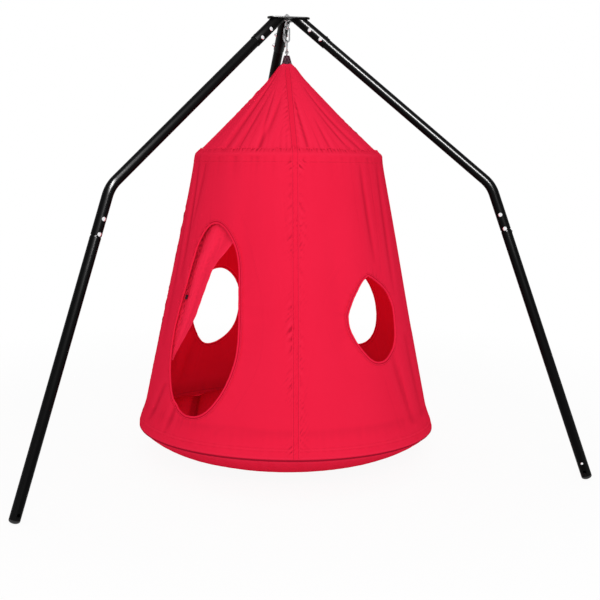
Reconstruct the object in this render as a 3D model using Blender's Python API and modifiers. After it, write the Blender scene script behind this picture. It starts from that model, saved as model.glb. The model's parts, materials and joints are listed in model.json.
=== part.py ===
"""A hanging play tent and the bent-tube tripod that carries it, modelled piece by piece.

Metres, +Z up, floor at Z = 0. The stand has one leg at the back and two in front, and the tent hangs
on its axis. The finished model is moved so that the origin is the bottom centre of its bounding box.
"""

import math

import bmesh
import bpy
from mathutils import Matrix, Vector

# Clearances between pieces that touch, and between the links of the hanging chain
GAP = 0.0003
LINK_GAP = 0.0005

# Tent: cloth, hoops and heights, from the ground up
CLOTH = 0.0015
GROUND_CLEARANCE = 0.038
BELLY_DEPTH = 0.090
WALL_HEIGHT = 1.048
ROOF_HEIGHT = 0.348
BASE_RADIUS = 0.5865
ROOF_RADIUS = 0.357
TIP_RADIUS = 0.0125
BASE_HOOP_OD = 0.016
TOP_HOOP_OD = 0.014
FLARE = 0.010
FLARE_HEIGHT = 0.062
WRAP_ANGLE = math.radians(50)
ROOF_SAG = 0.006
BELLY_POWER = 5.0

# Tent: panels, folds and seam tapes
PANELS = ("door", "window_right", "window_rear_right", "window_rear_left")
SEAMS = ("front", "right", "back", "left")
TENT_TURN = math.radians(-9.5)
FOLDS_PER_PANEL = 3
FOLD_DEPTH = 0.005
CREASES_PER_GORE = 5
CREASE_DEPTH = 0.008
TAPE_WIDTH = 0.028
TAPE_THICKNESS = 0.0012
BINDING_WIDTH = 0.009

# Tent: the door and the three windows, heights above the base hoop
OPENING_TURN = math.radians(40)
DOOR_WIDTH = 0.320
DOOR_ABOVE = 0.447
DOOR_BELOW = 0.244
DOOR_RISE = 0.372
WINDOW_WIDTH = 0.244
WINDOW_HEIGHT = 0.320
WINDOW_RISE = 0.480
REAR_WINDOW_RISE = 0.400
WINDOW_POINT = 0.35
HEM_OD = 0.006

# Tent: the door's flap, hung on the wall's inside left of the door
FLAP_TURN = math.radians(-61.5)
FLAP_SEAT = 0.0028
FLAP_BOTTOM_RISE = 0.312
FLAP_HEIGHT = 0.525
FLAP_FOOT_ANGLE = math.radians(4)
FLAP_HEAD_ANGLE = math.radians(35)
FLAP_STAND_OFF = 0.030
FLAP_FOLDS = 2
FLAP_FOLD_DEPTH = 0.004
TIE_LENGTH = 0.016
TIE_OD = 0.007
TIE_RISE = 0.517
TIE_TURN = math.radians(8)

# Tent: the inflated floor cushion and its valve
CUSHION_EASE = 0.0305
CUSHION_CROWN = 0.045
CUSHION_EDGE = 0.060
CUSHION_ROUNDING = 14
CUSHION_SKIN = 0.0015
CUSHION_LAY = 0.0002
CUSHION_TUBES = 6
CHANNEL_DEPTH = 0.022
VALVE_RADIUS = 0.010
VALVE_INSET = 0.156
VALVE_HEIGHT = 0.009
VALVE_DEPTH = 0.014

# Hanging chain: webbing crown, ring, quick link and eye bolt
LOOP_WIDTH = 0.013
LOOP_WEB = 0.002
LOOP_LENGTH = 0.0415
CROWN_TOP_RADIUS = 0.011
CROWN_HEIGHT = 0.030
CROWN_WEB = 0.0018
CROWN_LAP = 0.008
RING_RADIUS = 0.022
RING_WIRE = 0.006
LINK_LENGTH = 0.056
LINK_HALF_WIDTH = 0.00975
LINK_WIRE = 0.006
LINK_MOUTH = 0.006
LINK_MOUTH_RISE = 0.013
SLEEVE_LENGTH = 0.019
SLEEVE_LAP = 0.0015
SLEEVE_FLATS = 0.0105
EYE_RADIUS = 0.0125
EYE_WIRE = 0.007
EYE_TURN = math.radians(20)
EYE_SHANK = 0.010
EYE_COLLAR_OD = 0.020
EYE_COLLAR = 0.004
EYE_NUT_FLATS = 0.019
EYE_NUT_HEIGHT = 0.009
EYE_WASHER_OD = 0.026
EYE_WASHER = 0.002
EYE_THREAD_END = 0.004

# Stand: tubes and the tripod's shape
LEGS = {"right": math.radians(-30), "left": math.radians(-150), "rear": math.radians(90)}
HEAD_SIDES = {"right": -1, "left": 1, "rear": -1}
TUBE_OD = 0.038
TUBE_WALL = 0.0016
FOOT_CIRCLE_RADIUS = 1.177
LOWER_LEAN = math.radians(20)
UPPER_SLOPE = math.radians(39.5)
BEND_RADIUS = 0.120
SEAM_DROP = 0.170
SWAGE_LENGTH = 0.084
SWAGE_TAPER = 0.006
SEAM_STEP = 0.001

# Stand: hub bracket
PLATE_THICKNESS = 0.006
PLATE_REACH = 0.090
PLATE_LOBE = 0.024
SOCKET_WALL = 0.0018
SOCKET_REACH = 0.157
MITRE_REACH = 0.078
TUBE_TOP_REACH = 0.073

# Stand: bolts, snap buttons, feet
BOLT = 0.008
BOLT_HEAD_OD = 0.015
BOLT_HEAD = 0.0045
BOLT_NUT_FLATS = 0.013
BOLT_NUT = 0.0055
BOLT_TAIL = 0.004
HUB_BOLT_REACHES = (0.097, 0.139)
JOINT_BOLT_DROPS = (0.112, 0.165)
BUTTON = 0.007
BUTTON_HEIGHT = 0.0025
HUB_BUTTON_REACH = 0.146
JOINT_BUTTON_SETBACK = 0.005
PLUG_FLANGE = 0.003
PLUG_DOME = 0.0102
PLUG_STEM = 0.008
PLUG_STEM_WALL = 0.003
STAKE_HOLE = 0.012
STAKE_RISE = 0.018
RIVET_RISE = 0.052
RIVET = 0.005
RIVET_HEAD_OD = 0.009
RIVET_HEAD = 0.0022

# Facets: how finely round and curved pieces are divided
TUBE_SIDES = 12
BEND_STEPS = 4
BOLT_SIDES = 8
DOME_STEPS = 4
HOOP_SIDES = 6
WIRE_SIDES = 8
TURN_STEPS = 16
PANEL_COLUMNS = 14
HOOP_STEPS = 4 * PANEL_COLUMNS
CHANNEL_STEPS = 4
END_STEPS = 4
SLICE_TOP = (1, 0.96, 0.84, 0.5, 0)
SLICE_UNDERSIDE = (0.93, 0.62, 0)
WALL_ROWS = 6
GORE_COLUMNS = 22
GORE_ROWS = 4
OVAL_POINTS = 20
BELLY_STATIONS = (1, 0.95, 0.85, 0.65, 0)

# Heights that follow from the sizes above
BASE_Z = GROUND_CLEARANCE + BELLY_DEPTH
ROOF_Z = BASE_Z + WALL_HEIGHT
TIP_Z = ROOF_Z + ROOF_HEIGHT
RING_BOTTOM_Z = TIP_Z + LOOP_LENGTH
RING_Z = RING_BOTTOM_Z + RING_RADIUS
LINK_BOTTOM_Z = RING_Z + RING_RADIUS - (RING_WIRE + LINK_WIRE) / 2 - LINK_GAP
LINK_TOP_Z = LINK_BOTTOM_Z + LINK_LENGTH
EYE_Z = LINK_TOP_Z - (LINK_WIRE + EYE_WIRE) / 2 - LINK_GAP + EYE_RADIUS
PLATE_Z = EYE_Z + EYE_RADIUS + EYE_WIRE / 2 + EYE_COLLAR

# The leg's centreline: two straights that would meet at the bend's corner
TUBE_R = TUBE_OD / 2
SOCKET_R = TUBE_R + GAP + SOCKET_WALL
APEX_Z = PLATE_Z - SOCKET_R / math.cos(UPPER_SLOPE) + math.tan(UPPER_SLOPE) * MITRE_REACH
BEND_Z = (APEX_Z - math.tan(UPPER_SLOPE) * FOOT_CIRCLE_RADIUS) / (
    1 - math.tan(UPPER_SLOPE) * math.tan(LOWER_LEAN)
)
BEND_REACH = FOOT_CIRCLE_RADIUS - math.tan(LOWER_LEAN) * BEND_Z
BEND_ANGLE = math.pi / 2 - LOWER_LEAN - UPPER_SLOPE
SLOPE_DIRECTION = Vector((math.cos(UPPER_SLOPE), 0, -math.sin(UPPER_SLOPE)))
LEAN_DIRECTION = Vector((-math.sin(LOWER_LEAN), 0, math.cos(LOWER_LEAN)))
FOOT_POINT = Vector((FOOT_CIRCLE_RADIUS, 0, 0))
BEND_POINT = Vector((BEND_REACH, 0, BEND_Z))
LOWER_LENGTH = (BEND_POINT - FOOT_POINT).length
TUBE_END = PLUG_DOME + PLUG_FLANGE + GAP

# The tent's cloth as two straight lines in section, wall and roof, and the hoops seated inside them
WALL_SLOPE = (BASE_RADIUS - FLARE - ROOF_RADIUS) / WALL_HEIGHT
CUSHION_RADIUS = BASE_RADIUS - CUSHION_EASE
VALVE_REACH = CUSHION_RADIUS - VALVE_INSET
BASE_WRAP = BASE_HOOP_OD / 2 + GAP + CLOTH
BASE_HOOP_RADIUS = BASE_RADIUS - BASE_WRAP


def clear_scene():
    """Remove every object that the file opened with."""
    for item in list(bpy.data.objects):
        bpy.data.objects.remove(item)


def make_collection(name):
    """Return a new collection in the scene."""
    made = bpy.data.collections.new(name)
    bpy.context.scene.collection.children.link(made)
    return made


clear_scene()
PARTS = make_collection("hanging_tent")
CUTTERS = make_collection("cutters")


def make_material(name, colour, roughness, metallic=0.0):
    """Return a Principled material."""
    made = bpy.data.materials.new(name)
    made.use_nodes = True
    shader = made.node_tree.nodes["Principled BSDF"]
    shader.inputs["Base Color"].default_value = (*colour, 1.0)
    shader.inputs["Roughness"].default_value = roughness
    shader.inputs["Metallic"].default_value = metallic
    return made


BLACK_STEEL = make_material("black_powder_coat", (0.012, 0.012, 0.013), 0.28, 0.2)
BLACK_PLASTIC = make_material("black_plastic", (0.02, 0.02, 0.02), 0.5)
ZINC = make_material("zinc_plate", (0.72, 0.72, 0.74), 0.25, 1.0)
RED_CLOTH = make_material("red_cloth", (0.78, 0.02, 0.07), 0.7)
RED_TAPE = make_material("red_tape", (0.72, 0.02, 0.06), 0.75)
DARK_WEBBING = make_material("dark_webbing", (0.06, 0.015, 0.025), 0.85)
CUSHION_SKIN_RED = make_material("cushion_red", (0.55, 0.01, 0.04), 0.6)
HOOP_PLASTIC = make_material("hoop_plastic", (0.75, 0.75, 0.73), 0.45)
VALVE_PLASTIC = make_material("valve_plastic", (0.85, 0.85, 0.82), 0.4)


def add_object(name, mesh, collection=PARTS):
    """Link a mesh to the scene as an object."""
    made = bpy.data.objects.new(name, mesh)
    collection.objects.link(made)
    return made


def add_cutter(name, mesh):
    """Link a mesh as a cutter, which is drawn as wire and never rendered."""
    made = add_object(name, mesh, CUTTERS)
    made.hide_render = True
    made.display_type = "WIRE"
    return made


def mesh_from_bmesh(name, cage):
    """Turn a bmesh into a mesh datablock and free it."""
    mesh = bpy.data.meshes.new(name)
    cage.to_mesh(mesh)
    cage.free()
    return mesh


def baked(item):
    """Return an object's evaluated mesh in world space, and remove the object."""
    bpy.context.view_layer.update()
    graph = bpy.context.evaluated_depsgraph_get()
    mesh = bpy.data.meshes.new_from_object(item.evaluated_get(graph))
    mesh.transform(item.matrix_world)
    cage = bmesh.new()
    cage.from_mesh(mesh)
    bmesh.ops.remove_doubles(cage, verts=cage.verts, dist=0.00001)
    cage.to_mesh(mesh)
    cage.free()
    bpy.data.objects.remove(item)
    return mesh


def cylinder(radius, length, sides=TURN_STEPS, matrix=None):
    """Return a closed cylinder along Z, centred on the origin or placed by a matrix."""
    cage = bmesh.new()
    bmesh.ops.create_cone(
        cage,
        cap_ends=True,
        segments=sides,
        radius1=radius,
        radius2=radius,
        depth=length,
        matrix=matrix or Matrix.Identity(4),
    )
    return mesh_from_bmesh("cylinder", cage)


def block(size, centre):
    """Return a box of a given size about a centre."""
    cage = bmesh.new()
    bmesh.ops.create_cube(cage, size=1.0, matrix=Matrix.Translation(centre) @ Matrix.Diagonal((*size, 1)))
    return mesh_from_bmesh("block", cage)


def torus(major, minor, steps, sides):
    """Return a torus mesh round Z."""
    bpy.ops.mesh.primitive_torus_add(
        major_radius=major, minor_radius=minor, major_segments=steps, minor_segments=sides
    )
    made = bpy.context.object
    mesh = made.data
    bpy.data.objects.remove(made)
    return mesh


def turned(profile, steps=TURN_STEPS, closed=False):
    """Return a mesh turned round Z from a profile of (radius, height), top to bottom on its outside."""
    cage = bmesh.new()
    points = [cage.verts.new((radius, 0, height)) for radius, height in profile]
    pairs = list(zip(points, points[1:]))
    if closed:
        pairs.append((points[-1], points[0]))
    for first, second in pairs:
        cage.edges.new((first, second))
    made = add_object("turning", mesh_from_bmesh("turning", cage))
    screw = made.modifiers.new("screw", "SCREW")
    screw.steps = steps
    screw.render_steps = steps
    screw.use_merge_vertices = True
    screw.merge_threshold = 0.00001
    return baked(made)


def boolean(mesh, tool, operation="DIFFERENCE"):
    """Return a mesh cut by, or joined to, another mesh."""
    base = add_object("base", mesh)
    cutter = add_cutter("cutter", tool)
    modifier = base.modifiers.new("boolean", "BOOLEAN")
    modifier.operation = operation
    modifier.object = cutter
    result = baked(base)
    bpy.data.objects.remove(cutter)
    return result


def curve_tube(points, radius, sides, capped=True, cyclic=False):
    """Return the mesh of a round bar, or of an open pipe surface, along a line of points."""
    curve = bpy.data.curves.new("path", "CURVE")
    curve.dimensions = "3D"
    curve.bevel_depth = radius
    curve.bevel_resolution = sides // 2 - 2
    curve.use_fill_caps = capped
    spline = curve.splines.new("POLY")
    spline.points.add(len(points) - 1)
    for slot, point in zip(spline.points, points):
        slot.co = (*point, 1)
    spline.use_cyclic_u = cyclic
    made = bpy.data.objects.new("path", curve)
    PARTS.objects.link(made)
    return baked(made)


def flat_prism(outline, thickness):
    """Return a flat outline, points in XY, extruded to a thickness centred on Z = 0."""
    curve = bpy.data.curves.new("outline", "CURVE")
    curve.dimensions = "2D"
    curve.fill_mode = "BOTH"
    curve.extrude = thickness / 2
    spline = curve.splines.new("POLY")
    spline.points.add(len(outline) - 1)
    for slot, (x, y) in zip(spline.points, outline):
        slot.co = (x, y, 0, 1)
    spline.use_cyclic_u = True
    made = bpy.data.objects.new("outline", curve)
    PARTS.objects.link(made)
    return baked(made)


def solidified(mesh, thickness, offset):
    """Return an open surface thickened to a closed shell, inwards for offset -1 and outwards for 1."""
    made = add_object("shell", mesh)
    shell = made.modifiers.new("solidify", "SOLIDIFY")
    shell.thickness = thickness
    shell.offset = offset
    return baked(made)


def sheet(columns, rows, place):
    """Return a grid whose points are set by place(u, v), u and v from 0 to 1."""
    cage = bmesh.new()
    bmesh.ops.create_grid(cage, x_segments=columns, y_segments=rows, size=0.5)
    for point in cage.verts:
        point.co = place(point.co.x + 0.5, point.co.y + 0.5)
    return mesh_from_bmesh("sheet", cage)


def finish(name, mesh, material, parent, smooth=True):
    """Name a finished piece, colour it and hang it under its group's empty, which keeps it in place."""
    mesh.name = name
    mesh.materials.clear()
    mesh.materials.append(material)
    if smooth:
        mesh.shade_smooth()
        mesh.set_sharp_from_angle(angle=math.radians(35))
    made = add_object(name, mesh)
    made.parent = parent
    made.location = -Vector(parent["at"])
    return made


def add_group(name, parent=None, at=(0, 0, 0), turn=0.0):
    """Return an empty at a point of its parent's frame; "at" keeps the point for the pieces under it."""
    made = bpy.data.objects.new(name, None)
    PARTS.objects.link(made)
    made.parent = parent
    made.location = Vector(at) - (Vector(parent["at"]) if parent and not turn else Vector())
    made.rotation_euler.z = turn
    made["at"] = at
    return made


def smooth_step(value):
    """Return 0 below 0, 1 above 1, and an even S curve between."""
    value = min(max(value, 0.0), 1.0)
    return value * value * (3 - 2 * value)


def polar(radius, azimuth, height):
    """Return a point of the tent; azimuth runs round from the front seam, to the right when seen there."""
    return Vector((radius * math.sin(azimuth), -radius * math.cos(azimuth), height))


def pleat(azimuth, count, columns):
    """Return how deep a panel's pleats are, 0 to 1, with the cloth flat for a column beside each seam."""
    across = (azimuth / (math.pi / 2)) % 1.0
    inner = min(max((across * columns - 1) / (columns - 2), 0.0), 1.0)
    return (1 - math.cos(2 * math.pi * count * inner)) / 2


def fold_in(azimuth, height):
    """Return how far the wall's folds draw the cloth in; none at the seams and at the hoops."""
    up = min(max((height - BASE_Z) / WALL_HEIGHT, 0.0), 1.0)
    return FOLD_DEPTH * pleat(azimuth, FOLDS_PER_PANEL, PANEL_COLUMNS) * math.sin(math.pi * up)


def wall_radius(azimuth, height):
    """Return the wall cloth's outer radius: a straight cone that flares over the base hoop, with folds."""
    cone = ROOF_RADIUS + WALL_SLOPE * (ROOF_Z - height)
    flare = FLARE * smooth_step(1 - (height - BASE_Z) / FLARE_HEIGHT)
    return cone + flare - fold_in(azimuth, height)


def wall_section(azimuth):
    """Return (radius, height) down the wall, from the roof's edge to under the base hoop."""
    low = BASE_Z + FLARE_HEIGHT
    heights = [ROOF_Z - GAP - (ROOF_Z - low) * row / WALL_ROWS for row in range(WALL_ROWS + 1)]
    heights += [BASE_Z + FLARE_HEIGHT * share for share in (0.55, 0.2)]
    section = [(wall_radius(azimuth, height), height) for height in heights]
    for step in range(3):
        angle = -WRAP_ANGLE * step / 2
        section.append((BASE_HOOP_RADIUS + BASE_WRAP * math.cos(angle), BASE_Z + BASE_WRAP * math.sin(angle)))
    return section


def roof_section(azimuth):
    """Return (radius, height) down the roof, from the tip to just above the wall's edge."""
    section = []
    for row in range(GORE_ROWS + 1):
        down = row / GORE_ROWS
        height = TIP_Z - (ROOF_HEIGHT - CLOTH - GAP) * down
        radius = TIP_RADIUS + (ROOF_RADIUS - TIP_RADIUS) * (TIP_Z - height) / ROOF_HEIGHT
        crease = CREASE_DEPTH * pleat(azimuth, CREASES_PER_GORE, GORE_COLUMNS)
        section.append((radius - (ROOF_SAG + crease) * math.sin(math.pi * down), height))
    return section


def panel_mesh(section_at, quarter, columns):
    """Return a quarter of the tent's cloth between two seams, as a closed shell."""
    rows = len(section_at(0.0)) - 1

    def place(across, down):
        azimuth = (quarter + across) * math.pi / 2
        radius, height = section_at(azimuth)[round(down * rows)]
        azimuth += GAP / 2 / radius * (1 - 2 * across)
        return polar(radius, azimuth, height)

    return solidified(sheet(columns, rows, lambda u, v: place(u, 1 - v)), CLOTH, -1)


def oval_outline(half_width, above, below, point):
    """Return an egg of two half ellipses that meet at its widest line, with its top drawn to a point."""
    outline = []
    for step in range(OVAL_POINTS):
        angle = 2 * math.pi * step / OVAL_POINTS
        lift = math.sin(angle)
        tall = above if lift > 0 else below
        if lift > 0:
            lift = lift * (1 - point) + (1 - abs(math.cos(angle))) * point
        outline.append((half_width * math.cos(angle), tall * lift))
    return outline


def oval_cutter(turn, rise, half_width, above, below, point):
    """Return a prism that cuts an oval through the wall, square to the wall at its azimuth."""
    depth = 2 * (BASE_RADIUS - ROOF_RADIUS) + CUSHION_EDGE
    mesh = flat_prism(oval_outline(half_width, above, below, point), depth)
    outward = polar(1, turn, 0)
    sideways = polar(1, turn + math.pi / 2, 0)
    frame = Matrix((sideways, Vector((0, 0, 1)), outward)).transposed().to_4x4()
    mesh.transform(Matrix.Translation(polar(wall_radius(turn, BASE_Z + rise), turn, BASE_Z + rise)) @ frame)
    cage = bmesh.new()
    cage.from_mesh(mesh)
    bmesh.ops.recalc_face_normals(cage, faces=cage.faces)
    cage.to_mesh(mesh)
    cage.free()
    return mesh


def hem_mesh(turn, rise, half_width, above, below, point):
    """Return the round hem that lines an oval, bent along the wall's surface."""
    points = []
    for x, y in oval_outline(half_width, above, below, point):
        height = BASE_Z + rise + y
        azimuth = turn
        for _ in range(6):
            azimuth = turn + math.asin(x / wall_radius(azimuth, height))
        points.append(polar(wall_radius(azimuth, height) - CLOTH / 2, azimuth, height))
    return curve_tube(points, HEM_OD / 2, 6, cyclic=True)


def opening_sizes(name):
    """Return an opening's azimuth, rise, half width, reach above and below, and its top's point."""
    if name == "door":
        return -OPENING_TURN, DOOR_RISE, DOOR_WIDTH / 2, DOOR_ABOVE, DOOR_BELOW, 0
    turns = {
        "window_right": OPENING_TURN,
        "window_rear_right": math.pi - OPENING_TURN,
        "window_rear_left": math.pi + OPENING_TURN,
    }
    rise, point = (WINDOW_RISE, WINDOW_POINT) if name == "window_right" else (REAR_WINDOW_RISE, 0)
    return turns[name], rise, WINDOW_WIDTH / 2, WINDOW_HEIGHT / 2, WINDOW_HEIGHT / 2, point


def add_walls(tent):
    """Add the four wall panels with their door or window, and the hems that line these."""
    for quarter, name in zip((-1, 0, 1, 2), PANELS):
        turn, rise, half_width, above, below, point = opening_sizes(name)
        grow = HEM_OD + GAP
        hole = oval_cutter(turn, rise, half_width + grow, above + grow, below + grow, point)
        panel = boolean(panel_mesh(wall_section, quarter, PANEL_COLUMNS), hole)
        finish(f"wall_panel_{name}", panel, RED_CLOTH, tent)
        seat = HEM_OD / 2
        hem = hem_mesh(turn, rise, half_width + seat, above + seat, below + seat, point)
        finish(f"hem_{name}", hem, RED_TAPE, tent)


def add_roof(tent):
    """Add the four gores of the roof."""
    for quarter, name in zip((-1, 0, 1, 2), ("front_left", "front_right", "rear_right", "rear_left")):
        finish(f"roof_gore_{name}", panel_mesh(roof_section, quarter, GORE_COLUMNS), RED_CLOTH, tent)


def hoop_seat():
    """Return (radius, height) of the top hoop's centre, seated under the corner of roof and wall."""
    reach = TOP_HOOP_OD / 2 + GAP + CLOTH
    wall = math.hypot(1, WALL_SLOPE) * reach
    roof_slope = (ROOF_RADIUS - TIP_RADIUS) / ROOF_HEIGHT
    roof = math.hypot(1, roof_slope) * (reach + CLOTH)
    drop = (roof - wall) / (WALL_SLOPE + roof_slope)
    return ROOF_RADIUS + WALL_SLOPE * drop - wall, ROOF_Z - drop


def add_hoops(tent):
    """Add the two hoops that spread the tent."""
    radius, height = hoop_seat()
    top = torus(radius, TOP_HOOP_OD / 2, HOOP_STEPS, HOOP_SIDES)
    top.transform(Matrix.Translation((0, 0, height)))
    finish("top_hoop", top, HOOP_PLASTIC, tent)
    base = torus(BASE_HOOP_RADIUS, BASE_HOOP_OD / 2, HOOP_STEPS, HOOP_SIDES)
    base.transform(Matrix.Translation((0, 0, BASE_Z)))
    finish("base_hoop", base, HOOP_PLASTIC, tent)


def belly_start():
    """Return (radius, height) where the floor's cloth starts, just past the wall's lower edge."""
    angle = -WRAP_ANGLE - 3 * GAP / BASE_WRAP
    return BASE_HOOP_RADIUS + BASE_WRAP * math.cos(angle), BASE_Z + BASE_WRAP * math.sin(angle)


def belly_section():
    """Return (radius, height) along the floor cloth's underside, which bellies under its load."""
    start_radius, start_height = belly_start()
    section = []
    for share in BELLY_STATIONS:
        drop = start_height - GROUND_CLEARANCE
        section.append((start_radius * share, GROUND_CLEARANCE + drop * share**BELLY_POWER))
    return section


def between(section, reach):
    """Return the height at a reach from the axis on a line of (radius, height) points."""
    for (near, low), (far, high) in zip(section, section[1:]):
        if min(near, far) <= reach <= max(near, far):
            return low + (high - low) * (reach - near) / (far - near)
    return section[-1][1]


def cushion_height(x, y, top):
    """Return the height of the cushion's channelled top or of its underside, which round into its side."""
    belly = belly_section()
    lay = CLOTH * 1.2 + GAP + CUSHION_LAY
    reach = min(math.hypot(x, y) / CUSHION_RADIUS, 1)
    edge = between(belly, CUSHION_RADIUS) + lay
    middle = edge + CUSHION_EDGE / 2
    limit = between(belly, CUSHION_RADIUS * reach) + lay
    if top:
        across = 2 * ((x / CUSHION_RADIUS + 1) * CUSHION_TUBES / 2 % 1) - 1
        groove = CHANNEL_DEPTH * (1 - math.sqrt(1 - across**2))
        limit = edge + CUSHION_EDGE + CUSHION_CROWN * (1 - reach**2) - groove
    return middle + (limit - middle) * math.sqrt(1 - reach**CUSHION_ROUNDING)


def cushion_slice(share):
    """Return the loop of points over and under the cushion, at a share of its radius from its middle."""
    x = share * CUSHION_RADIUS
    half = math.sqrt(CUSHION_RADIUS**2 - x**2)
    over = [*SLICE_TOP, *(-part for part in reversed(SLICE_TOP[:-1]))]
    under = [*(-part for part in SLICE_UNDERSIDE), *reversed(SLICE_UNDERSIDE[:-1])]
    loop = [Vector((x, half * part, cushion_height(x, half * part, True))) for part in over]
    return loop + [Vector((x, half * part, cushion_height(x, half * part, False))) for part in under]


def cushion_mesh():
    """Return the cushion as a loft of upright slices, with each welded channel along a slice."""
    steps = CUSHION_TUBES * CHANNEL_STEPS
    cuts = [1 / END_STEPS, *range(1, steps), steps - 1 / END_STEPS]
    slices = [cushion_slice(2 * cut / steps - 1) for cut in cuts]
    cage = bmesh.new()
    loops = [[cage.verts.new(point) for point in points] for points in slices]
    for first, second in zip(loops, loops[1:]):
        for index in range(len(first)):
            after = (index + 1) % len(first)
            cage.faces.new((first[index], first[after], second[after], second[index]))
    for loop, x in ((loops[0], -CUSHION_RADIUS), (loops[-1], CUSHION_RADIUS)):
        end = cage.verts.new((x, 0, cushion_height(x, 0, True)))
        for index in range(len(loop)):
            cage.faces.new((loop[index], loop[(index + 1) % len(loop)], end))
    bmesh.ops.recalc_face_normals(cage, faces=cage.faces)
    return mesh_from_bmesh("cushion", cage)


def add_cushion(tent):
    """Add the cushion, a hollow inflated skin, and the valve that plugs its port on top of a tube."""
    skin = solidified(cushion_mesh(), CUSHION_SKIN, -1)
    share = 2 * (CUSHION_TUBES // 2 + 0.5) / CUSHION_TUBES - 1
    x = share * CUSHION_RADIUS
    y = math.sqrt(VALVE_REACH**2 - x**2)
    ridge = [(point.y, point.z) for point in cushion_slice(share)[:len(SLICE_TOP)]]
    stem = VALVE_RADIUS * 0.6
    place = Matrix.Translation((x, y, between(ridge, y)))
    finish("floor_cushion", boolean(skin, cylinder(stem + GAP, VALVE_DEPTH, 12, place)), CUSHION_SKIN_RED, tent)
    seat = between(ridge, y - VALVE_RADIUS) + GAP
    profile = [
        (0, seat + VALVE_HEIGHT),
        (VALVE_RADIUS * 0.85, seat + VALVE_HEIGHT),
        (VALVE_RADIUS, seat + VALVE_HEIGHT * 0.7),
        (VALVE_RADIUS, seat),
        (stem, seat),
        (stem, seat - VALVE_DEPTH),
        (0, seat - VALVE_DEPTH),
    ]
    valve = turned(profile, 12)
    valve.transform(Matrix.Translation((x, y, 0)))
    finish("air_valve", valve, VALVE_PLASTIC, tent)


def add_floor(tent):
    """Add the floor cloth, and the binding over the seam that joins it to the wall."""
    cloth = turned(belly_section(), HOOP_STEPS)
    finish("floor_cloth", solidified(cloth, CLOTH, -1), RED_CLOTH, tent)
    outward = Vector((math.cos(WRAP_ANGLE), -math.sin(WRAP_ANGLE)))
    down = Vector((outward.y, -outward.x))
    seam = Vector((BASE_HOOP_RADIUS, BASE_Z))
    inner, outer = BASE_WRAP + GAP, BASE_WRAP + GAP + TAPE_THICKNESS
    ring = []
    for reach, side in ((outer, -1), (outer, 1), (inner, 1), (inner, -1)):
        ring.append(tuple(seam + outward * reach + down * side * BINDING_WIDTH / 2))
    finish("base_binding", turned(ring, HOOP_STEPS, closed=True), RED_TAPE, tent)


def add_seam_tapes(tent):
    """Add the tape over each seam, from under the crown to the base hoop."""
    for quarter, name in enumerate(SEAMS):
        azimuth = quarter * math.pi / 2
        section = roof_section(azimuth)[:-1] + [(ROOF_RADIUS, ROOF_Z)] + wall_section(azimuth)[1:-1]
        start = TIP_Z - CROWN_LAP - 2 * GAP - CLOTH
        section = [(roof_line_radius(start), start)] + [point for point in section if point[1] < start - CROWN_LAP]
        rows = len(section) - 1

        def place(across, down):
            row = round(down * rows)
            radius, height = section[row]
            above = section[max(row - 1, 0)]
            below = section[min(row + 1, rows)]
            along = Vector((below[0] - above[0], below[1] - above[1])).normalized()
            off = Vector((-along.y, along.x)) * (GAP + corner_ease(row))
            side = (across - 0.5) * TAPE_WIDTH * (1 if row else 0.6)
            return Matrix.Rotation(azimuth, 3, "Z") @ Vector((side, -radius - off.x, height + off.y))

        def corner_ease(row):
            return 2 * GAP if section[row][1] == ROOF_Z else 0.0

        strip = sheet(1, rows, lambda u, v: place(u, 1 - v))
        finish(f"seam_tape_{name}", solidified(strip, TAPE_THICKNESS, 1), RED_TAPE, tent)


def roof_line_radius(height):
    """Return the roof's radius at a height on its seams, with its sag."""
    down = (TIP_Z - height) / ROOF_HEIGHT
    return TIP_RADIUS + (ROOF_RADIUS - TIP_RADIUS) * down - ROOF_SAG * math.sin(math.pi * down)


def flap_point(across, up):
    """Return a point of the door flap's outer face; across runs from its sewn edge to its free edge."""
    height = BASE_Z + FLAP_BOTTOM_RISE + FLAP_HEIGHT * up
    width = FLAP_FOOT_ANGLE + (FLAP_HEAD_ANGLE - FLAP_FOOT_ANGLE) * up
    azimuth = FLAP_TURN + width * across
    share = (azimuth - FLAP_TURN) / FLAP_HEAD_ANGLE
    fold = FLAP_FOLD_DEPTH * (1 - math.cos(2 * math.pi * FLAP_FOLDS * across)) / 2 * up
    smooth_wall = ROOF_RADIUS + WALL_SLOPE * (ROOF_Z - height)
    return polar(smooth_wall - CLOTH - FLAP_SEAT - FLAP_STAND_OFF * share**0.6 - fold, azimuth, height)


def add_door_flap(tent):
    """Add the flap, tied back at the door's left edge, and the toggle of its tie."""
    top, bottom = flap_point(0, 1), flap_point(0, 0)
    axis = add_group("door_flap_axis", tent, tuple((top + bottom) / 2))
    face = sheet(8, 6, flap_point)
    finish("door_flap", solidified(face, CLOTH, -1), RED_CLOTH, axis)
    up = (TIE_RISE - FLAP_BOTTOM_RISE) / FLAP_HEIGHT
    across = TIE_TURN / (FLAP_FOOT_ANGLE + (FLAP_HEAD_ANGLE - FLAP_FOOT_ANGLE) * up)
    seat = flap_point(across, up)
    rise = (flap_point(across, up + 0.05) - flap_point(across, up - 0.05)).normalized()
    outward = (flap_point(across + 0.05, up) - flap_point(across - 0.05, up)).cross(rise).normalized()
    toggle = cylinder(TIE_OD / 2, TIE_LENGTH, BOLT_SIDES)
    turn = Vector((0, 0, 1)).rotation_difference(rise).to_matrix().to_4x4()
    toggle.transform(Matrix.Translation(seat + outward * (TIE_OD / 2 + 2 * GAP)) @ turn)
    finish("flap_toggle", toggle, DARK_WEBBING, axis)
    return axis, (top - bottom).normalized()


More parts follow.
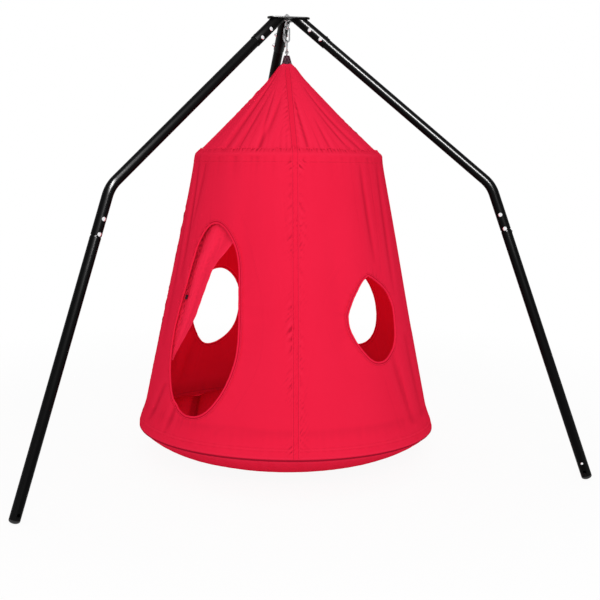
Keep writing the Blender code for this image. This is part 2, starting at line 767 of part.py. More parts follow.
def add_crown(tent):
    """Add the webbing loop that hangs on the ring, and the webbing collar sewn over the roof's tip."""
    rise = RING_RADIUS - math.sqrt(RING_RADIUS**2 - (LOOP_WIDTH / 2) ** 2)
    bore = RING_WIRE / 2 + rise + 2 * GAP
    collar_inner = (CROWN_TOP_RADIUS - CROWN_WEB) * math.cos(math.pi / GORE_COLUMNS)
    tail_thick = LOOP_WEB * 3
    tail_width = 2 * (math.sqrt(collar_inner**2 - (tail_thick / 2) ** 2) - GAP)
    tail_bottom = TIP_Z - CROWN_LAP
    tail_length = RING_BOTTOM_Z - bore - tail_bottom
    across = Matrix.Rotation(math.pi / 2, 4, "X")
    eye = cylinder(bore + LOOP_WEB, LOOP_WIDTH, 16, Matrix.Translation((0, 0, RING_BOTTOM_Z)) @ across)
    tail = block((tail_thick, tail_width, tail_length), (0, 0, tail_bottom + tail_length / 2))
    hole = cylinder(bore, LOOP_WIDTH * 2, 16, Matrix.Translation((0, 0, RING_BOTTOM_Z)) @ across)
    loop = boolean(boolean(eye, tail, "UNION"), hole)
    finish("webbing_loop", loop, DARK_WEBBING, tent)

    lap_bottom = TIP_Z - CROWN_LAP
    top = lap_bottom + CROWN_HEIGHT
    ease = 2 * GAP * math.sqrt(2)
    slant = CROWN_WEB * math.sqrt(2)
    profile = [
        (CROWN_TOP_RADIUS, top),
        (TIP_RADIUS + ease + slant, TIP_Z),
        (TIP_RADIUS + CROWN_LAP + ease + slant, lap_bottom),
        (TIP_RADIUS + CROWN_LAP + ease, lap_bottom),
        (TIP_RADIUS + ease, TIP_Z),
        (CROWN_TOP_RADIUS - CROWN_WEB, top),
    ]
    finish("crown_collar", turned(profile, GORE_COLUMNS, closed=True), DARK_WEBBING, tent)


def add_ring(holder):
    """Add the steel ring, which stands in the YZ plane of the tent."""
    ring = torus(RING_RADIUS, RING_WIRE / 2, 20, WIRE_SIDES)
    ring.transform(Matrix.Translation((0, 0, RING_Z)) @ Matrix.Rotation(math.pi / 2, 4, "Y"))
    finish("steel_ring", ring, ZINC, holder)


def link_path():
    """Return the quick link's centreline, from above its mouth round both bows to below it."""
    mouth = LINK_BOTTOM_Z + LINK_MOUTH_RISE
    centre_top = LINK_TOP_Z - LINK_HALF_WIDTH
    centre_bottom = LINK_BOTTOM_Z + LINK_HALF_WIDTH
    points = [(-LINK_HALF_WIDTH, 0, mouth + LINK_MOUTH)]
    for step in range(9):
        angle = math.pi - math.pi * step / 8
        points.append((LINK_HALF_WIDTH * math.cos(angle), 0, centre_top + LINK_HALF_WIDTH * math.sin(angle)))
    for step in range(9):
        angle = -math.pi * step / 8
        points.append((LINK_HALF_WIDTH * math.cos(angle), 0, centre_bottom + LINK_HALF_WIDTH * math.sin(angle)))
    points.append((-LINK_HALF_WIDTH, 0, mouth))
    return points


def add_quick_link(holder):
    """Add the quick link and the screw sleeve that closes its mouth."""
    finish("quick_link", curve_tube(link_path(), LINK_WIRE / 2, WIRE_SIDES), ZINC, holder)
    bottom = LINK_BOTTOM_Z + LINK_MOUTH_RISE - SLEEVE_LAP
    middle = bottom + SLEEVE_LENGTH / 2
    place = Matrix.Translation((-LINK_HALF_WIDTH, 0, middle))
    sleeve = cylinder(SLEEVE_FLATS / math.sqrt(3), SLEEVE_LENGTH, 6, place)
    sleeve = boolean(sleeve, cylinder(LINK_WIRE / 2 + GAP, SLEEVE_LENGTH * 2, 12, place))
    axis = add_group("link_sleeve_axis", holder, (-LINK_HALF_WIDTH, 0, middle))
    finish("quick_link_sleeve", sleeve, ZINC, axis, smooth=False)
    return axis


def add_eye_bolt(root):
    """Add the eye bolt under the hub plate, with its washer and nut above the plate."""
    top = PLATE_Z + PLATE_THICKNESS
    washer_z = top + GAP
    nut_z = washer_z + EYE_WASHER + GAP
    end_z = nut_z + EYE_NUT_HEIGHT + EYE_THREAD_END
    collar_z = PLATE_Z - GAP
    shank = turned(
        [
            (0, end_z),
            (EYE_SHANK * 0.4, end_z),
            (EYE_SHANK / 2, end_z - EYE_SHANK * 0.1),
            (EYE_SHANK / 2, collar_z),
            (EYE_COLLAR_OD / 2, collar_z),
            (EYE_COLLAR_OD / 2, collar_z - EYE_COLLAR * 0.6),
            (EYE_SHANK / 2, collar_z - EYE_COLLAR),
            (EYE_SHANK * 0.3, EYE_Z + EYE_RADIUS),
            (0, EYE_Z + EYE_RADIUS),
        ],
        16,
    )
    eye = torus(EYE_RADIUS, EYE_WIRE / 2, 16, WIRE_SIDES)
    turn = Matrix.Rotation(TENT_TURN + EYE_TURN, 4, "Z") @ Matrix.Rotation(math.pi / 2, 4, "Y")
    eye.transform(Matrix.Translation((0, 0, EYE_Z)) @ turn)
    finish("eye_bolt", boolean(shank, eye, "UNION"), ZINC, root)
    bore = EYE_SHANK / 2 + GAP
    washer = [
        (EYE_WASHER_OD / 2, washer_z + EYE_WASHER),
        (EYE_WASHER_OD / 2, washer_z),
        (bore, washer_z),
        (bore, washer_z + EYE_WASHER),
    ]
    finish("eye_washer", turned(washer, TURN_STEPS, closed=True), ZINC, root)
    place = Matrix.Translation((0, 0, nut_z + EYE_NUT_HEIGHT / 2))
    nut = cylinder(EYE_NUT_FLATS / math.sqrt(3), EYE_NUT_HEIGHT, 6, place)
    nut = boolean(nut, cylinder(bore, EYE_NUT_HEIGHT * 2, 16, place))
    finish("eye_nut", nut, ZINC, root, smooth=False)


def slope_point(reach):
    """Return the point of the upper tube's centreline at a reach from the axis."""
    return Vector((reach, 0, APEX_Z - math.tan(UPPER_SLOPE) * reach))


def lean_point(drop):
    """Return the point of the lower straight's centreline at a distance along it below the corner."""
    return BEND_POINT - LEAN_DIRECTION * drop


def along(direction, centre):
    """Return the matrix that lays a Z-long mesh along a direction in the leg's plane."""
    turn = Vector((0, 0, 1)).rotation_difference(direction).to_matrix().to_4x4()
    return Matrix.Translation(centre) @ turn


def crosswise(centre, side=1):
    """Return the matrix that lays a Z-long mesh square to the leg's plane."""
    return Matrix.Translation(centre) @ Matrix.Rotation(-side * math.pi / 2, 4, "X")


def bolt_points():
    """Return the centres of the leg's four through bolts: two in the socket, two at the joint."""
    return [slope_point(reach) for reach in HUB_BOLT_REACHES], [lean_point(drop) for drop in JOINT_BOLT_DROPS]


def socket_bolt_cutters(centres, radius):
    """Return the cylinders that drill a leg's bolt holes."""
    return [cylinder(radius, 3 * TUBE_OD, BOLT_SIDES, crosswise(centre)) for centre in centres]


def button_point(upper):
    """Return a snap button's foot on the tube's centreline and the direction it springs out in."""
    if upper:
        return slope_point(HUB_BUTTON_REACH), Vector((math.sin(UPPER_SLOPE), 0, math.cos(UPPER_SLOPE)))
    drop = SEAM_DROP + SEAM_STEP + SWAGE_TAPER + JOINT_BUTTON_SETBACK
    return lean_point(drop), Vector((math.cos(LOWER_LEAN), 0, math.sin(LOWER_LEAN)))


def button_mesh(upper, cover):
    """Return a snap button that stands out of a tube and through a cover over it."""
    foot, spring = button_point(upper)
    length = TUBE_WALL / 2 + cover + BUTTON_HEIGHT
    start = TUBE_R - TUBE_WALL / 2
    return cylinder(BUTTON / 2, length, BOLT_SIDES, along(spring, foot + spring * (start + length / 2)))


def add_hub(root):
    """Add the hub bracket: a three-lobed plate with a mitred socket welded under each lobe."""
    outline = []
    for azimuth in (LEGS["right"], LEGS["rear"], LEGS["left"]):
        centre = Vector((math.cos(azimuth), math.sin(azimuth))) * (PLATE_REACH - PLATE_LOBE)
        for step in range(7):
            angle = azimuth + math.radians(-60 + 20 * step)
            outline.append(tuple(centre + Vector((math.cos(angle), math.sin(angle))) * PLATE_LOBE))
    bracket = flat_prism(outline, PLATE_THICKNESS)
    bracket.transform(Matrix.Translation((0, 0, PLATE_Z + PLATE_THICKNESS / 2)))
    bracket = boolean(bracket, cylinder(EYE_SHANK / 2 + GAP, PLATE_REACH, 16, Matrix.Translation((0, 0, PLATE_Z))))

    end = slope_point(SOCKET_REACH)
    start = slope_point(-SOCKET_REACH / 2)
    middle = (end + start) / 2
    length = (end - start).length
    outer = cylinder(SOCKET_R, length, TUBE_SIDES, along(SLOPE_DIRECTION, middle))
    above = PLATE_Z + PLATE_THICKNESS / 2
    ceiling = block((2, 2, 1), (0, 0, above + 0.5))
    socket = boolean(outer, ceiling)
    bore_end = slope_point(SOCKET_REACH * 2)
    bore = cylinder(
        TUBE_R + GAP,
        (bore_end - start).length,
        TUBE_SIDES,
        along(SLOPE_DIRECTION, (bore_end + start) / 2),
    )
    bore = boolean(bore, block((2, 2, 1), (0, 0, PLATE_Z + 0.5)))
    hub_centres, _ = bolt_points()
    foot, spring = button_point(upper=True)
    drills = socket_bolt_cutters(hub_centres, BOLT / 2 + GAP)
    drills.append(cylinder(BUTTON / 2 + GAP, TUBE_OD, BOLT_SIDES, along(spring, foot + spring * TUBE_R)))
    for azimuth in LEGS.values():
        arm = socket.copy()
        arm.transform(Matrix.Rotation(azimuth, 4, "Z"))
        bracket = boolean(bracket, arm, "UNION")
    for azimuth in LEGS.values():
        for tool in [bore, *drills]:
            cutter = tool.copy()
            cutter.transform(Matrix.Rotation(azimuth, 4, "Z"))
            bracket = boolean(bracket, cutter)
    finish("hub_bracket", bracket, BLACK_STEEL, root)


def upper_leg_mesh():
    """Return an upper tube: straight out of its socket, through the bend, down to the joint."""
    tangent = BEND_RADIUS * math.tan(BEND_ANGLE / 2)
    start_arc = BEND_POINT - SLOPE_DIRECTION * tangent
    inward = Vector((-math.sin(UPPER_SLOPE), 0, -math.cos(UPPER_SLOPE)))
    centre = start_arc + inward * BEND_RADIUS
    points = [slope_point(TUBE_TOP_REACH)]
    for step in range(BEND_STEPS + 1):
        turn = Matrix.Rotation(BEND_ANGLE * step / BEND_STEPS, 3, "Y")
        points.append(centre + turn @ (-inward * BEND_RADIUS))
    points.append(lean_point(SEAM_DROP))
    pipe = solidified(curve_tube(points, TUBE_R, TUBE_SIDES, capped=False), TUBE_WALL, -1)
    hub_centres, joint_centres = bolt_points()
    for drill in socket_bolt_cutters(hub_centres + joint_centres, BOLT / 2 + GAP):
        pipe = boolean(pipe, drill)
    return boolean(pipe, button_mesh(upper=True, cover=GAP + SOCKET_WALL), "UNION")


def lower_leg_mesh():
    """Return a lower tube, whose swaged top goes up into the upper tube, with its stake hole."""
    swage_r = TUBE_R - TUBE_WALL - GAP
    seam = LOWER_LENGTH - SEAM_DROP - SEAM_STEP
    profile = [
        (swage_r, seam + SWAGE_LENGTH),
        (swage_r, seam),
        (TUBE_R, seam - SWAGE_TAPER),
        (TUBE_R, TUBE_END),
        (TUBE_R - TUBE_WALL, TUBE_END),
        (TUBE_R - TUBE_WALL, seam - SWAGE_TAPER),
        (swage_r - TUBE_WALL, seam),
        (swage_r - TUBE_WALL, seam + SWAGE_LENGTH),
    ]
    pipe = turned(profile, TUBE_SIDES, closed=True)
    pipe.transform(along(LEAN_DIRECTION, FOOT_POINT))
    _, joint_centres = bolt_points()
    for drill in socket_bolt_cutters(joint_centres, BOLT / 2 + GAP):
        pipe = boolean(pipe, drill)
    stake = FOOT_POINT + LEAN_DIRECTION * (TUBE_END + STAKE_RISE)
    pipe = boolean(pipe, cylinder(STAKE_HOLE / 2, 3 * TUBE_OD, 10, crosswise(stake)))
    rivet = FOOT_POINT + LEAN_DIRECTION * (TUBE_END + RIVET_RISE)
    pipe = boolean(pipe, cylinder(RIVET / 2 + GAP, TUBE_OD, BOLT_SIDES, crosswise(rivet + Vector((0, -TUBE_OD / 2, 0)))))
    return boolean(pipe, button_mesh(upper=False, cover=0), "UNION")


def foot_plug_mesh():
    """Return a foot plug: a stem in the tube, a flange, and a dome cut flat where it meets the floor."""
    stem_r = TUBE_R - TUBE_WALL - GAP
    flange_top = PLUG_DOME + PLUG_FLANGE
    profile = [
        (0, flange_top),
        (stem_r - PLUG_STEM_WALL, flange_top),
        (stem_r - PLUG_STEM_WALL, flange_top + PLUG_STEM),
        (stem_r, flange_top + PLUG_STEM),
        (stem_r, flange_top),
        (TUBE_R, flange_top),
        (TUBE_R, PLUG_DOME),
    ]
    for step in range(1, DOME_STEPS + 1):
        angle = math.pi / 2 * step / DOME_STEPS
        reach = TUBE_R * math.cos(angle) if step < DOME_STEPS else 0
        profile.append((reach, PLUG_DOME * (1 - math.sin(angle))))
    plug = turned(profile, TUBE_SIDES)
    plug.transform(along(LEAN_DIRECTION, FOOT_POINT))
    return boolean(plug, block((2, 2, 1), (FOOT_CIRCLE_RADIUS, 0, -0.5)))


def bolt_mesh(width):
    """Return a through bolt along Z for a width to clamp: domed head at +Z, nut and tail at -Z."""
    top = width / 2 + GAP
    tail = -top - BOLT_NUT - BOLT_TAIL
    bolt = turned(
        [
            (0, top + BOLT_HEAD),
            (BOLT_HEAD_OD * 0.36, top + BOLT_HEAD * 0.65),
            (BOLT_HEAD_OD / 2, top),
            (BOLT / 2, top),
            (BOLT / 2, tail),
            (0, tail),
        ],
        BOLT_SIDES,
    )
    nut = cylinder(BOLT_NUT_FLATS / math.sqrt(3), BOLT_NUT, 6, Matrix.Translation((0, 0, -top - BOLT_NUT / 2)))
    return boolean(bolt, nut, "UNION")


def rivet_mesh():
    """Return the small rivet near a foot: a domed head outside the tube and a shank in its wall."""
    face = TUBE_R + GAP
    return turned(
        [
            (0, face + RIVET_HEAD),
            (RIVET_HEAD_OD * 0.35, face + RIVET_HEAD * 0.75),
            (RIVET_HEAD_OD / 2, face),
            (RIVET / 2, face),
            (RIVET / 2, face - TUBE_WALL * 2),
            (0, face - TUBE_WALL * 2),
        ],
        BOLT_SIDES,
    )


def add_legs(root):
    """Add the three legs: tubes, plugs, rivets, and the bolts that hold them in the hub and together."""
    upper, lower, plug, rivet = upper_leg_mesh(), lower_leg_mesh(), foot_plug_mesh(), rivet_mesh()
    hub_bolt, joint_bolt = bolt_mesh(SOCKET_R * 2), bolt_mesh(TUBE_OD)
    rivet_place = FOOT_POINT + LEAN_DIRECTION * (TUBE_END + RIVET_RISE)
    hub_centres, joint_centres = bolt_points()
    for name, azimuth in LEGS.items():
        side = HEAD_SIDES[name]
        round_axis = Matrix.Rotation(azimuth, 4, "Z")

        def copy(mesh, place=None, spin=round_axis):
            made = mesh.copy()
            made.transform(spin @ (place or Matrix.Identity(4)))
            return made

        finish(f"upper_leg_{name}", copy(upper), BLACK_STEEL, root)
        finish(f"lower_leg_{name}", copy(lower), BLACK_STEEL, root)
        finish(f"foot_plug_{name}", copy(plug), BLACK_PLASTIC, root)
        finish(f"foot_rivet_{name}", copy(rivet, crosswise(rivet_place, -1)), ZINC, root)
        for number, centre in enumerate(hub_centres, 1):
            finish(f"hub_bolt_{name}_{number}", copy(hub_bolt, crosswise(centre, side)), ZINC, root)
        for number, centre in enumerate(joint_centres, 1):
            finish(f"joint_bolt_{name}_{number}", copy(joint_bolt, crosswise(centre, side)), ZINC, root)


def bounds():
    """Return the lowest and highest corner of every finished piece, in world space."""
    bpy.context.view_layer.update()
    corners = []
    for item in PARTS.objects:
        if item.type == "MESH":
            corners += [item.matrix_world @ point.co for point in item.data.vertices]
    low = Vector([min(corner[axis] for corner in corners) for axis in range(3)])
    high = Vector([max(corner[axis] for corner in corners) for axis in range(3)])
    return low, high


def main():
    """Build the stand and the tent, then centre the model on its bounding box's bottom."""
    root = add_group("hanging_tent_origin")
    add_hub(root)
    add_legs(root)
    add_eye_bolt(root)
    tent_frame = add_group("tent_frame", root, (0, 0, 0), TENT_TURN)
    link = add_group("tent_turn_axis", tent_frame, (0, 0, LINK_TOP_Z))
    sleeve_axis = add_quick_link(link)
    ring = add_group("ring_swing_axis", link, (0, 0, LINK_BOTTOM_Z))
    add_ring(ring)
    tent = add_group("tent_swing_axis", ring, (0, 0, RING_BOTTOM_Z))
    add_crown(tent)
    add_roof(tent)
    add_walls(tent)
    add_hoops(tent)
    add_floor(tent)
    add_cushion(tent)
    add_seam_tapes(tent)
    flap_axis, flap_direction = add_door_flap(tent)
    low, high = bounds()
    root.location = (-(low.x + high.x) / 2, -(low.y + high.y) / 2, -low.z)
    bpy.context.view_layer.update()
    for axis in (link, sleeve_axis, ring, tent, flap_axis):
        print(axis.name, "at", [round(value, 5) for value in axis.matrix_world.translation])
    spun = Matrix.Rotation(TENT_TURN, 3, "Z") @ flap_direction
    print("door flap axis direction", [round(value, 5) for value in spun])
    print("model shift", [round(value, 5) for value in root.location], "size", [round(v, 4) for v in high - low])


main()
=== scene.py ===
"""Looks of a round hanging play tent and the bent-tube tripod that carries it.

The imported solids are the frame, and every visible piece here is dressed over them. The tent's pieces are
made in the tent's own frame, with azimuth 0 at the front seam, and are then set in place. Metres, +Z up.
"""

from __future__ import annotations

import json
import logging
from dataclasses import dataclass
from enum import Enum
from functools import lru_cache
from math import asin, atan, atan2, copysign, cos, exp, floor, hypot, pi, radians, remainder, sin, sqrt, tan
from typing import Callable, NamedTuple, Sequence

import bmesh
import bpy
from mathutils import Matrix, Vector, noise

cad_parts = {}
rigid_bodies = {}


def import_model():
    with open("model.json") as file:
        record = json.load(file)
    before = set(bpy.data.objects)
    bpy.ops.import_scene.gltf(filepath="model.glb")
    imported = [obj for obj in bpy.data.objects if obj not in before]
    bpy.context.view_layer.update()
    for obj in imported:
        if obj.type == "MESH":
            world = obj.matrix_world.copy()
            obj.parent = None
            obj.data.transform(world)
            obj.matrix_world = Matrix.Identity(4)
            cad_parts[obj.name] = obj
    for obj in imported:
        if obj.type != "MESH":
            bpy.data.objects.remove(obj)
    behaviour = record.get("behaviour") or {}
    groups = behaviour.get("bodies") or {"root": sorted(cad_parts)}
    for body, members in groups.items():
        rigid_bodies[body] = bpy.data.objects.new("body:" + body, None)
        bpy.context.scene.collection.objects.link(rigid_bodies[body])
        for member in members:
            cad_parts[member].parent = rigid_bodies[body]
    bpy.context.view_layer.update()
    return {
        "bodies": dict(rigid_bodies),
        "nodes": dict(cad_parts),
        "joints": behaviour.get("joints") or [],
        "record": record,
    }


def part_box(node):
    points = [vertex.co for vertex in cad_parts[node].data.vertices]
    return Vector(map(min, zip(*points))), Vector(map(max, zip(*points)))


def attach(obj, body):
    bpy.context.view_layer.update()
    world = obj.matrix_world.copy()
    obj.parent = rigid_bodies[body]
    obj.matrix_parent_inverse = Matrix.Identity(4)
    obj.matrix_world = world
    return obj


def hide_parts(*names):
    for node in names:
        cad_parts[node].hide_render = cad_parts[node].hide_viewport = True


LOG = logging.getLogger("hanging_tent")
UV_NAME = "cut"
TURN = 2 * pi
UP = Vector((0, 0, 1))
Mesh = bpy.types.Mesh
Object = bpy.types.Object
Socket = bpy.types.NodeSocket
Cage = bmesh.types.BMesh
Colour = tuple[float, float, float]
Profile = Sequence[tuple[float, float]]
Section = tuple[tuple[float, float], ...]
Frames = Sequence[tuple[Vector, Vector, Vector]]


class Body(Enum):
    """The bodies that pieces ride on."""

    STAND = "stand"
    LINK = "quick_link"
    SLEEVE = "link_sleeve"
    RING = "ring"
    TENT = "tent"
    FLAP = "door_flap"


class Slot(Enum):
    """The record's material slots."""

    BLACK_COAT = "black_powder_coat"
    BLACK_PLASTIC = "black_plastic"
    ZINC = "zinc_plate"
    CLOTH = "red_cloth"
    TAPE = "red_tape"
    WEBBING = "dark_webbing"
    CUSHION = "cushion_skin"
    HOOP = "hoop_plastic"
    VALVE = "valve_plastic"


class Quarter(Enum):
    """The tent's four wall panels, by the quarter that each covers, counted from the front seam."""

    DOOR = -1
    WINDOW_RIGHT = 0
    WINDOW_REAR_RIGHT = 1
    WINDOW_REAR_LEFT = 2

    @property
    def label(self) -> str:
        """The panel's name in node names."""
        return self.name.lower()

    @classmethod
    def holding(cls, azimuth: float) -> Quarter:
        """Return the panel that covers an azimuth."""
        return cls((floor(azimuth / (pi / 2) + 1e-9) + 1) % 4 - 1)


GORES = {-1: "front_left", 0: "front_right", 1: "rear_right", 2: "rear_left"}
SEAMS = ("front", "right", "back", "left")
LEGS = {"right": radians(-30), "left": radians(-150), "rear": radians(90)}


def clamp(value: float) -> float:
    """Return a value kept between 0 and 1."""
    return min(max(value, 0.0), 1.0)


def smooth_step(value: float) -> float:
    """Return 0 below 0, 1 above 1, and an even S curve between."""
    value = clamp(value)
    return value * value * (3 - 2 * value)


def bell(value: float, width: float) -> float:
    """Return 1 at 0, falling to both sides on a bell curve of a width."""
    return exp(-((value / width) ** 2))


def fading(way: float, reach: float) -> float:
    """Return 1 up to 0, and past it a fall towards nothing over a few times the reach."""
    return exp(-max(way, 0.0) / reach)


def polar(radius: float, azimuth: float, height: float) -> Vector:
    """Return a point of the tent; azimuth runs round from the front seam, to the right when seen there."""
    return Vector((radius * sin(azimuth), -radius * cos(azimuth), height))


def noise_at(x: float, y: float, z: float) -> float:
    """Return smooth noise at a place, about -1 to 1, which is the same on each run."""
    return noise.noise(Vector((x, y, z)))


def ring_noise(azimuth: float, detail: float, height: float = 0.0, seed: float = 0.0) -> float:
    """Return noise that closes on itself round the tent, with detail waves in a radian."""
    return noise_at(detail * cos(azimuth) + seed, detail * sin(azimuth), height)


def circle(centre: Vector, first: Vector, second: Vector, count: int) -> list[Vector]:
    """Return points round a centre, from the tip of one radius towards the other's."""
    turns = [TURN * k / count for k in range(count)]
    return [centre + first * cos(turn) + second * sin(turn) for turn in turns]


def link_object(name: str, mesh: Mesh) -> Object:
    """Link a mesh to the scene.

    Args:
        name: The object's name.
        mesh: Its mesh.

    Returns:
        The new object, at the origin.
    """
    mesh.name = name
    made = bpy.data.objects.new(name, mesh)
    bpy.context.scene.collection.objects.link(made)
    return made


def mesh_from(cage: Cage) -> Mesh:
    """Turn a bmesh into a mesh datablock and free it."""
    mesh = bpy.data.meshes.new("piece")
    cage.to_mesh(mesh)
    cage.free()
    return mesh


def outward(cage: Cage) -> Mesh:
    """Turn a closed bmesh's faces outwards and make a mesh of it."""
    bmesh.ops.recalc_face_normals(cage, faces=cage.faces)
    return mesh_from(cage)


def settled(item: Object) -> Mesh:
    """Return an object's evaluated mesh, modifiers included, and remove the object."""
    bpy.context.view_layer.update()
    graph = bpy.context.evaluated_depsgraph_get()
    mesh = bpy.data.meshes.new_from_object(item.evaluated_get(graph))
    bpy.data.objects.remove(item)
    return mesh


def modified(mesh: Mesh, kind: str, **settings: object) -> Mesh:
    """Return a mesh as one modifier leaves it.

    Args:
        mesh: The mesh.
        kind: The modifier's type.
        settings: The modifier's settings.

    Returns:
        The new mesh.
    """
    item = link_object("work", mesh)
    modifier = item.modifiers.new("work", kind)
    for key, value in settings.items():
        setattr(modifier, key, value)
    return settled(item)


def tidied(mesh: Mesh, merge: float = 0.00002) -> Mesh:
    """Merge a closed mesh's doubles and turn its faces outwards."""
    cage = bmesh.new()
    cage.from_mesh(mesh)
    bmesh.ops.remove_doubles(cage, verts=cage.verts, dist=merge)
    return outward(cage)


def joined(meshes: Sequence[Mesh]) -> Mesh:
    """Return one mesh that holds several."""
    cage = bmesh.new()
    for mesh in meshes:
        cage.from_mesh(mesh)
    return mesh_from(cage)


def smoothed(mesh: Mesh, angle: float = 35.0) -> Mesh:
    """Shade a mesh smooth, with edges past an angle in degrees kept sharp."""
    mesh.shade_smooth()
    mesh.set_sharp_from_angle(angle=radians(angle))
    return mesh


def surface(
    columns: int, rows: int, place: Callable[[float, float], Vector], size: tuple[float, float]
) -> Mesh:
    """Return a sheet whose points are set by a rule.

    Args:
        columns: Faces across.
        rows: Faces up.
        place: Gives the point at (u, v), both from 0 to 1.
        size: The cloth's width and length, which scale its UV map to metres.

    Returns:
        The open mesh, with its UV map.
    """
    cage = bmesh.new()
    layer = cage.loops.layers.uv.new(UV_NAME)
    bmesh.ops.create_grid(cage, x_segments=columns, y_segments=rows, size=0.5, calc_uvs=True)
    for point in cage.verts:
        point.co = place(point.co.x + 0.5, point.co.y + 0.5)
    for face in cage.faces:
        for corner in face.loops:
            corner[layer].uv *= Vector(size)
    return mesh_from(cage)


def thickened(mesh: Mesh, thickness: float, offset: float = -1.0) -> Mesh:
    """Return an open sheet as a closed shell, grown inwards for offset -1 and outwards for 1."""
    return modified(mesh, "SOLIDIFY", thickness=thickness, offset=offset)


def bridged(cage: Cage, rings: Sequence[Sequence[bmesh.types.BMVert]]) -> list[bmesh.types.BMFace]:
    """Join each ring of a bmesh's points to the next, and return the faces ring by ring."""
    faces = []
    for ring, following in zip(rings, rings[1:]):
        for k in range(len(ring)):
            after = (k + 1) % len(ring)
            faces.append(cage.faces.new((ring[k], ring[after], following[after], following[k])))
    return faces


def prism(*outlines: Sequence[Vector]) -> Mesh:
    """Return the closed solid between two outlines that have as many points."""
    cage = bmesh.new()
    rings = [[cage.verts.new(point) for point in outline] for outline in outlines]
    bridged(cage, rings)
    cage.faces.new(reversed(rings[0]))
    cage.faces.new(rings[1])
    return outward(cage)


def swept(path: Frames, profile: Profile | Callable[[float], Profile], closed: bool = False) -> Mesh:
    """Return a solid that carries a closed profile along a path.

    Args:
        path: (point, across, out) at each station; the profile's two axes lie along across and out.
        profile: The profile's points, or a rule that gives them at a share of the path.
        closed: True where the path's end meets its start.

    Returns:
        The closed mesh, with a UV map in metres.
    """
    cage = bmesh.new()
    layer = cage.loops.layers.uv.new(UV_NAME)
    rings, stations, travelled = [], [], 0.0
    for index, (point, across, out) in enumerate(path):
        shape = profile(index / len(path)) if callable(profile) else profile
        rings.append([cage.verts.new(point + across * a + out * b) for a, b in shape])
        travelled += (point - path[index - 1][0]).length if index else 0.0
        stations.append(travelled)
    if closed:
        rings.append(rings[0])
        stations.append(travelled + (path[0][0] - path[-1][0]).length)
    around, girths = len(rings[0]), [0.0]
    for k in range(around):
        girths.append(girths[-1] + (rings[0][(k + 1) % around].co - rings[0][k].co).length)
    for index, face in enumerate(bridged(cage, rings)):
        row, k = divmod(index, around)
        corners = ((k, row), (k + 1, row), (k + 1, row + 1), (k, row + 1))
        for corner, (side, along) in zip(face.loops, corners):
            corner[layer].uv = (girths[side], stations[along])
    if not closed:
        cage.faces.new(rings[0])
        cage.faces.new(reversed(rings[-1]))
    return outward(cage)


def path_frames(points: Sequence[Vector], side: Vector, closed: bool = False) -> Frames:
    """Return the frames of a flat path, for a profile to be carried along.

    Args:
        points: The path.
        side: The direction square to the path's plane.
        closed: True where the path's end meets its start.

    Returns:
        (point, across, out) at each point, with across square to the path and out along the side.
    """
    frames = []
    count = len(points)
    for index, point in enumerate(points):
        before = points[index - 1] if closed or index else point
        after = points[(index + 1) % count] if closed or index < count - 1 else point
        frames.append((point, (after - before).normalized().cross(side).normalized(), side))
    return frames


def round_profile(radius: float, sides: int) -> Profile:
    """Return a circle's points."""
    return [(radius * cos(TURN * k / sides), radius * sin(TURN * k / sides)) for k in range(sides)]


def strap_profile(width: float, thickness: float) -> Profile:
    """Return a flat strap's profile, thickness across and width out, with rounded edges."""
    half, edge = width / 2, thickness / 2
    points = []
    for centre, start in ((half - edge, 0.0), (edge - half, pi)):
        for k in range(7):
            turn = start + pi * k / 6
            points.append((edge * cos(turn), centre + edge * sin(turn)))
    return points


def turned(profile: Profile, steps: int = 48, closed: bool = False) -> Mesh:
    """Return a mesh turned round Z.

    Args:
        profile: (radius, height) points, which run down its outer side.
        steps: Faces round it.
        closed: True where the profile's end meets its start.

    Returns:
        The closed mesh.
    """
    outline = line_mesh([[Vector((radius, 0, height)) for radius, height in profile]], closed)
    screw = modified(
        outline, "SCREW", steps=steps, render_steps=steps, use_merge_vertices=True, merge_threshold=0.00001
    )
    return tidied(screw)


def cylinder(radius: float, length: float, place: Matrix, sides: int = 32) -> Mesh:
    """Return a closed cylinder along its own Z, set by a matrix."""
    cage = bmesh.new()
    sizes = {"radius1": radius, "radius2": radius, "depth": length}
    bmesh.ops.create_cone(cage, cap_ends=True, segments=sides, matrix=place, **sizes)
    return mesh_from(cage)


def slab(top: float, x: float = 0.0) -> Mesh:
    """Return a block, 2 m square and 1 m high, with its top at a height, to cut with."""
    cage = bmesh.new()
    place = Matrix.Translation((x, 0, top - 0.5)) @ Matrix.Diagonal((2, 2, 1, 1))
    bmesh.ops.create_cube(cage, size=1.0, matrix=place)
    return mesh_from(cage)


def combined(base: Mesh, tool: Mesh, operation: str = "DIFFERENCE") -> Mesh:
    """Return a mesh cut by, joined to or kept within another."""
    cutter = link_object("cutter", tool)
    result = modified(base, "BOOLEAN", operation=operation, object=cutter)
    bpy.data.objects.remove(cutter)
    return result


def bevelled(mesh: Mesh, width: float) -> Mesh:
    """Return a mesh with its sharp edges rounded."""
    return modified(mesh, "BEVEL", width=width, segments=2, limit_method="ANGLE")


def line_mesh(lines: Sequence[Sequence[Vector]], closed: bool = False) -> Mesh:
    """Return lines of points as a mesh of edges."""
    cage = bmesh.new()
    for line in lines:
        points = [cage.verts.new(point) for point in line]
        for first, second in zip(points, points[1:]):
            cage.edges.new((first, second))
        if closed:
            cage.edges.new((points[-1], points[0]))
    return mesh_from(cage)


def point_mesh(places: Sequence[Matrix]) -> Mesh:
    """Return points, each with a turn attribute, that stand for places."""
    mesh = bpy.data.meshes.new("points")
    mesh.vertices.add(len(places))
    turn = mesh.attributes.new("turn", "FLOAT_VECTOR", "POINT")
    for index, place in enumerate(places):
        mesh.vertices[index].co = place.translation
        turn.data[index].vector = place.to_euler()
    return mesh


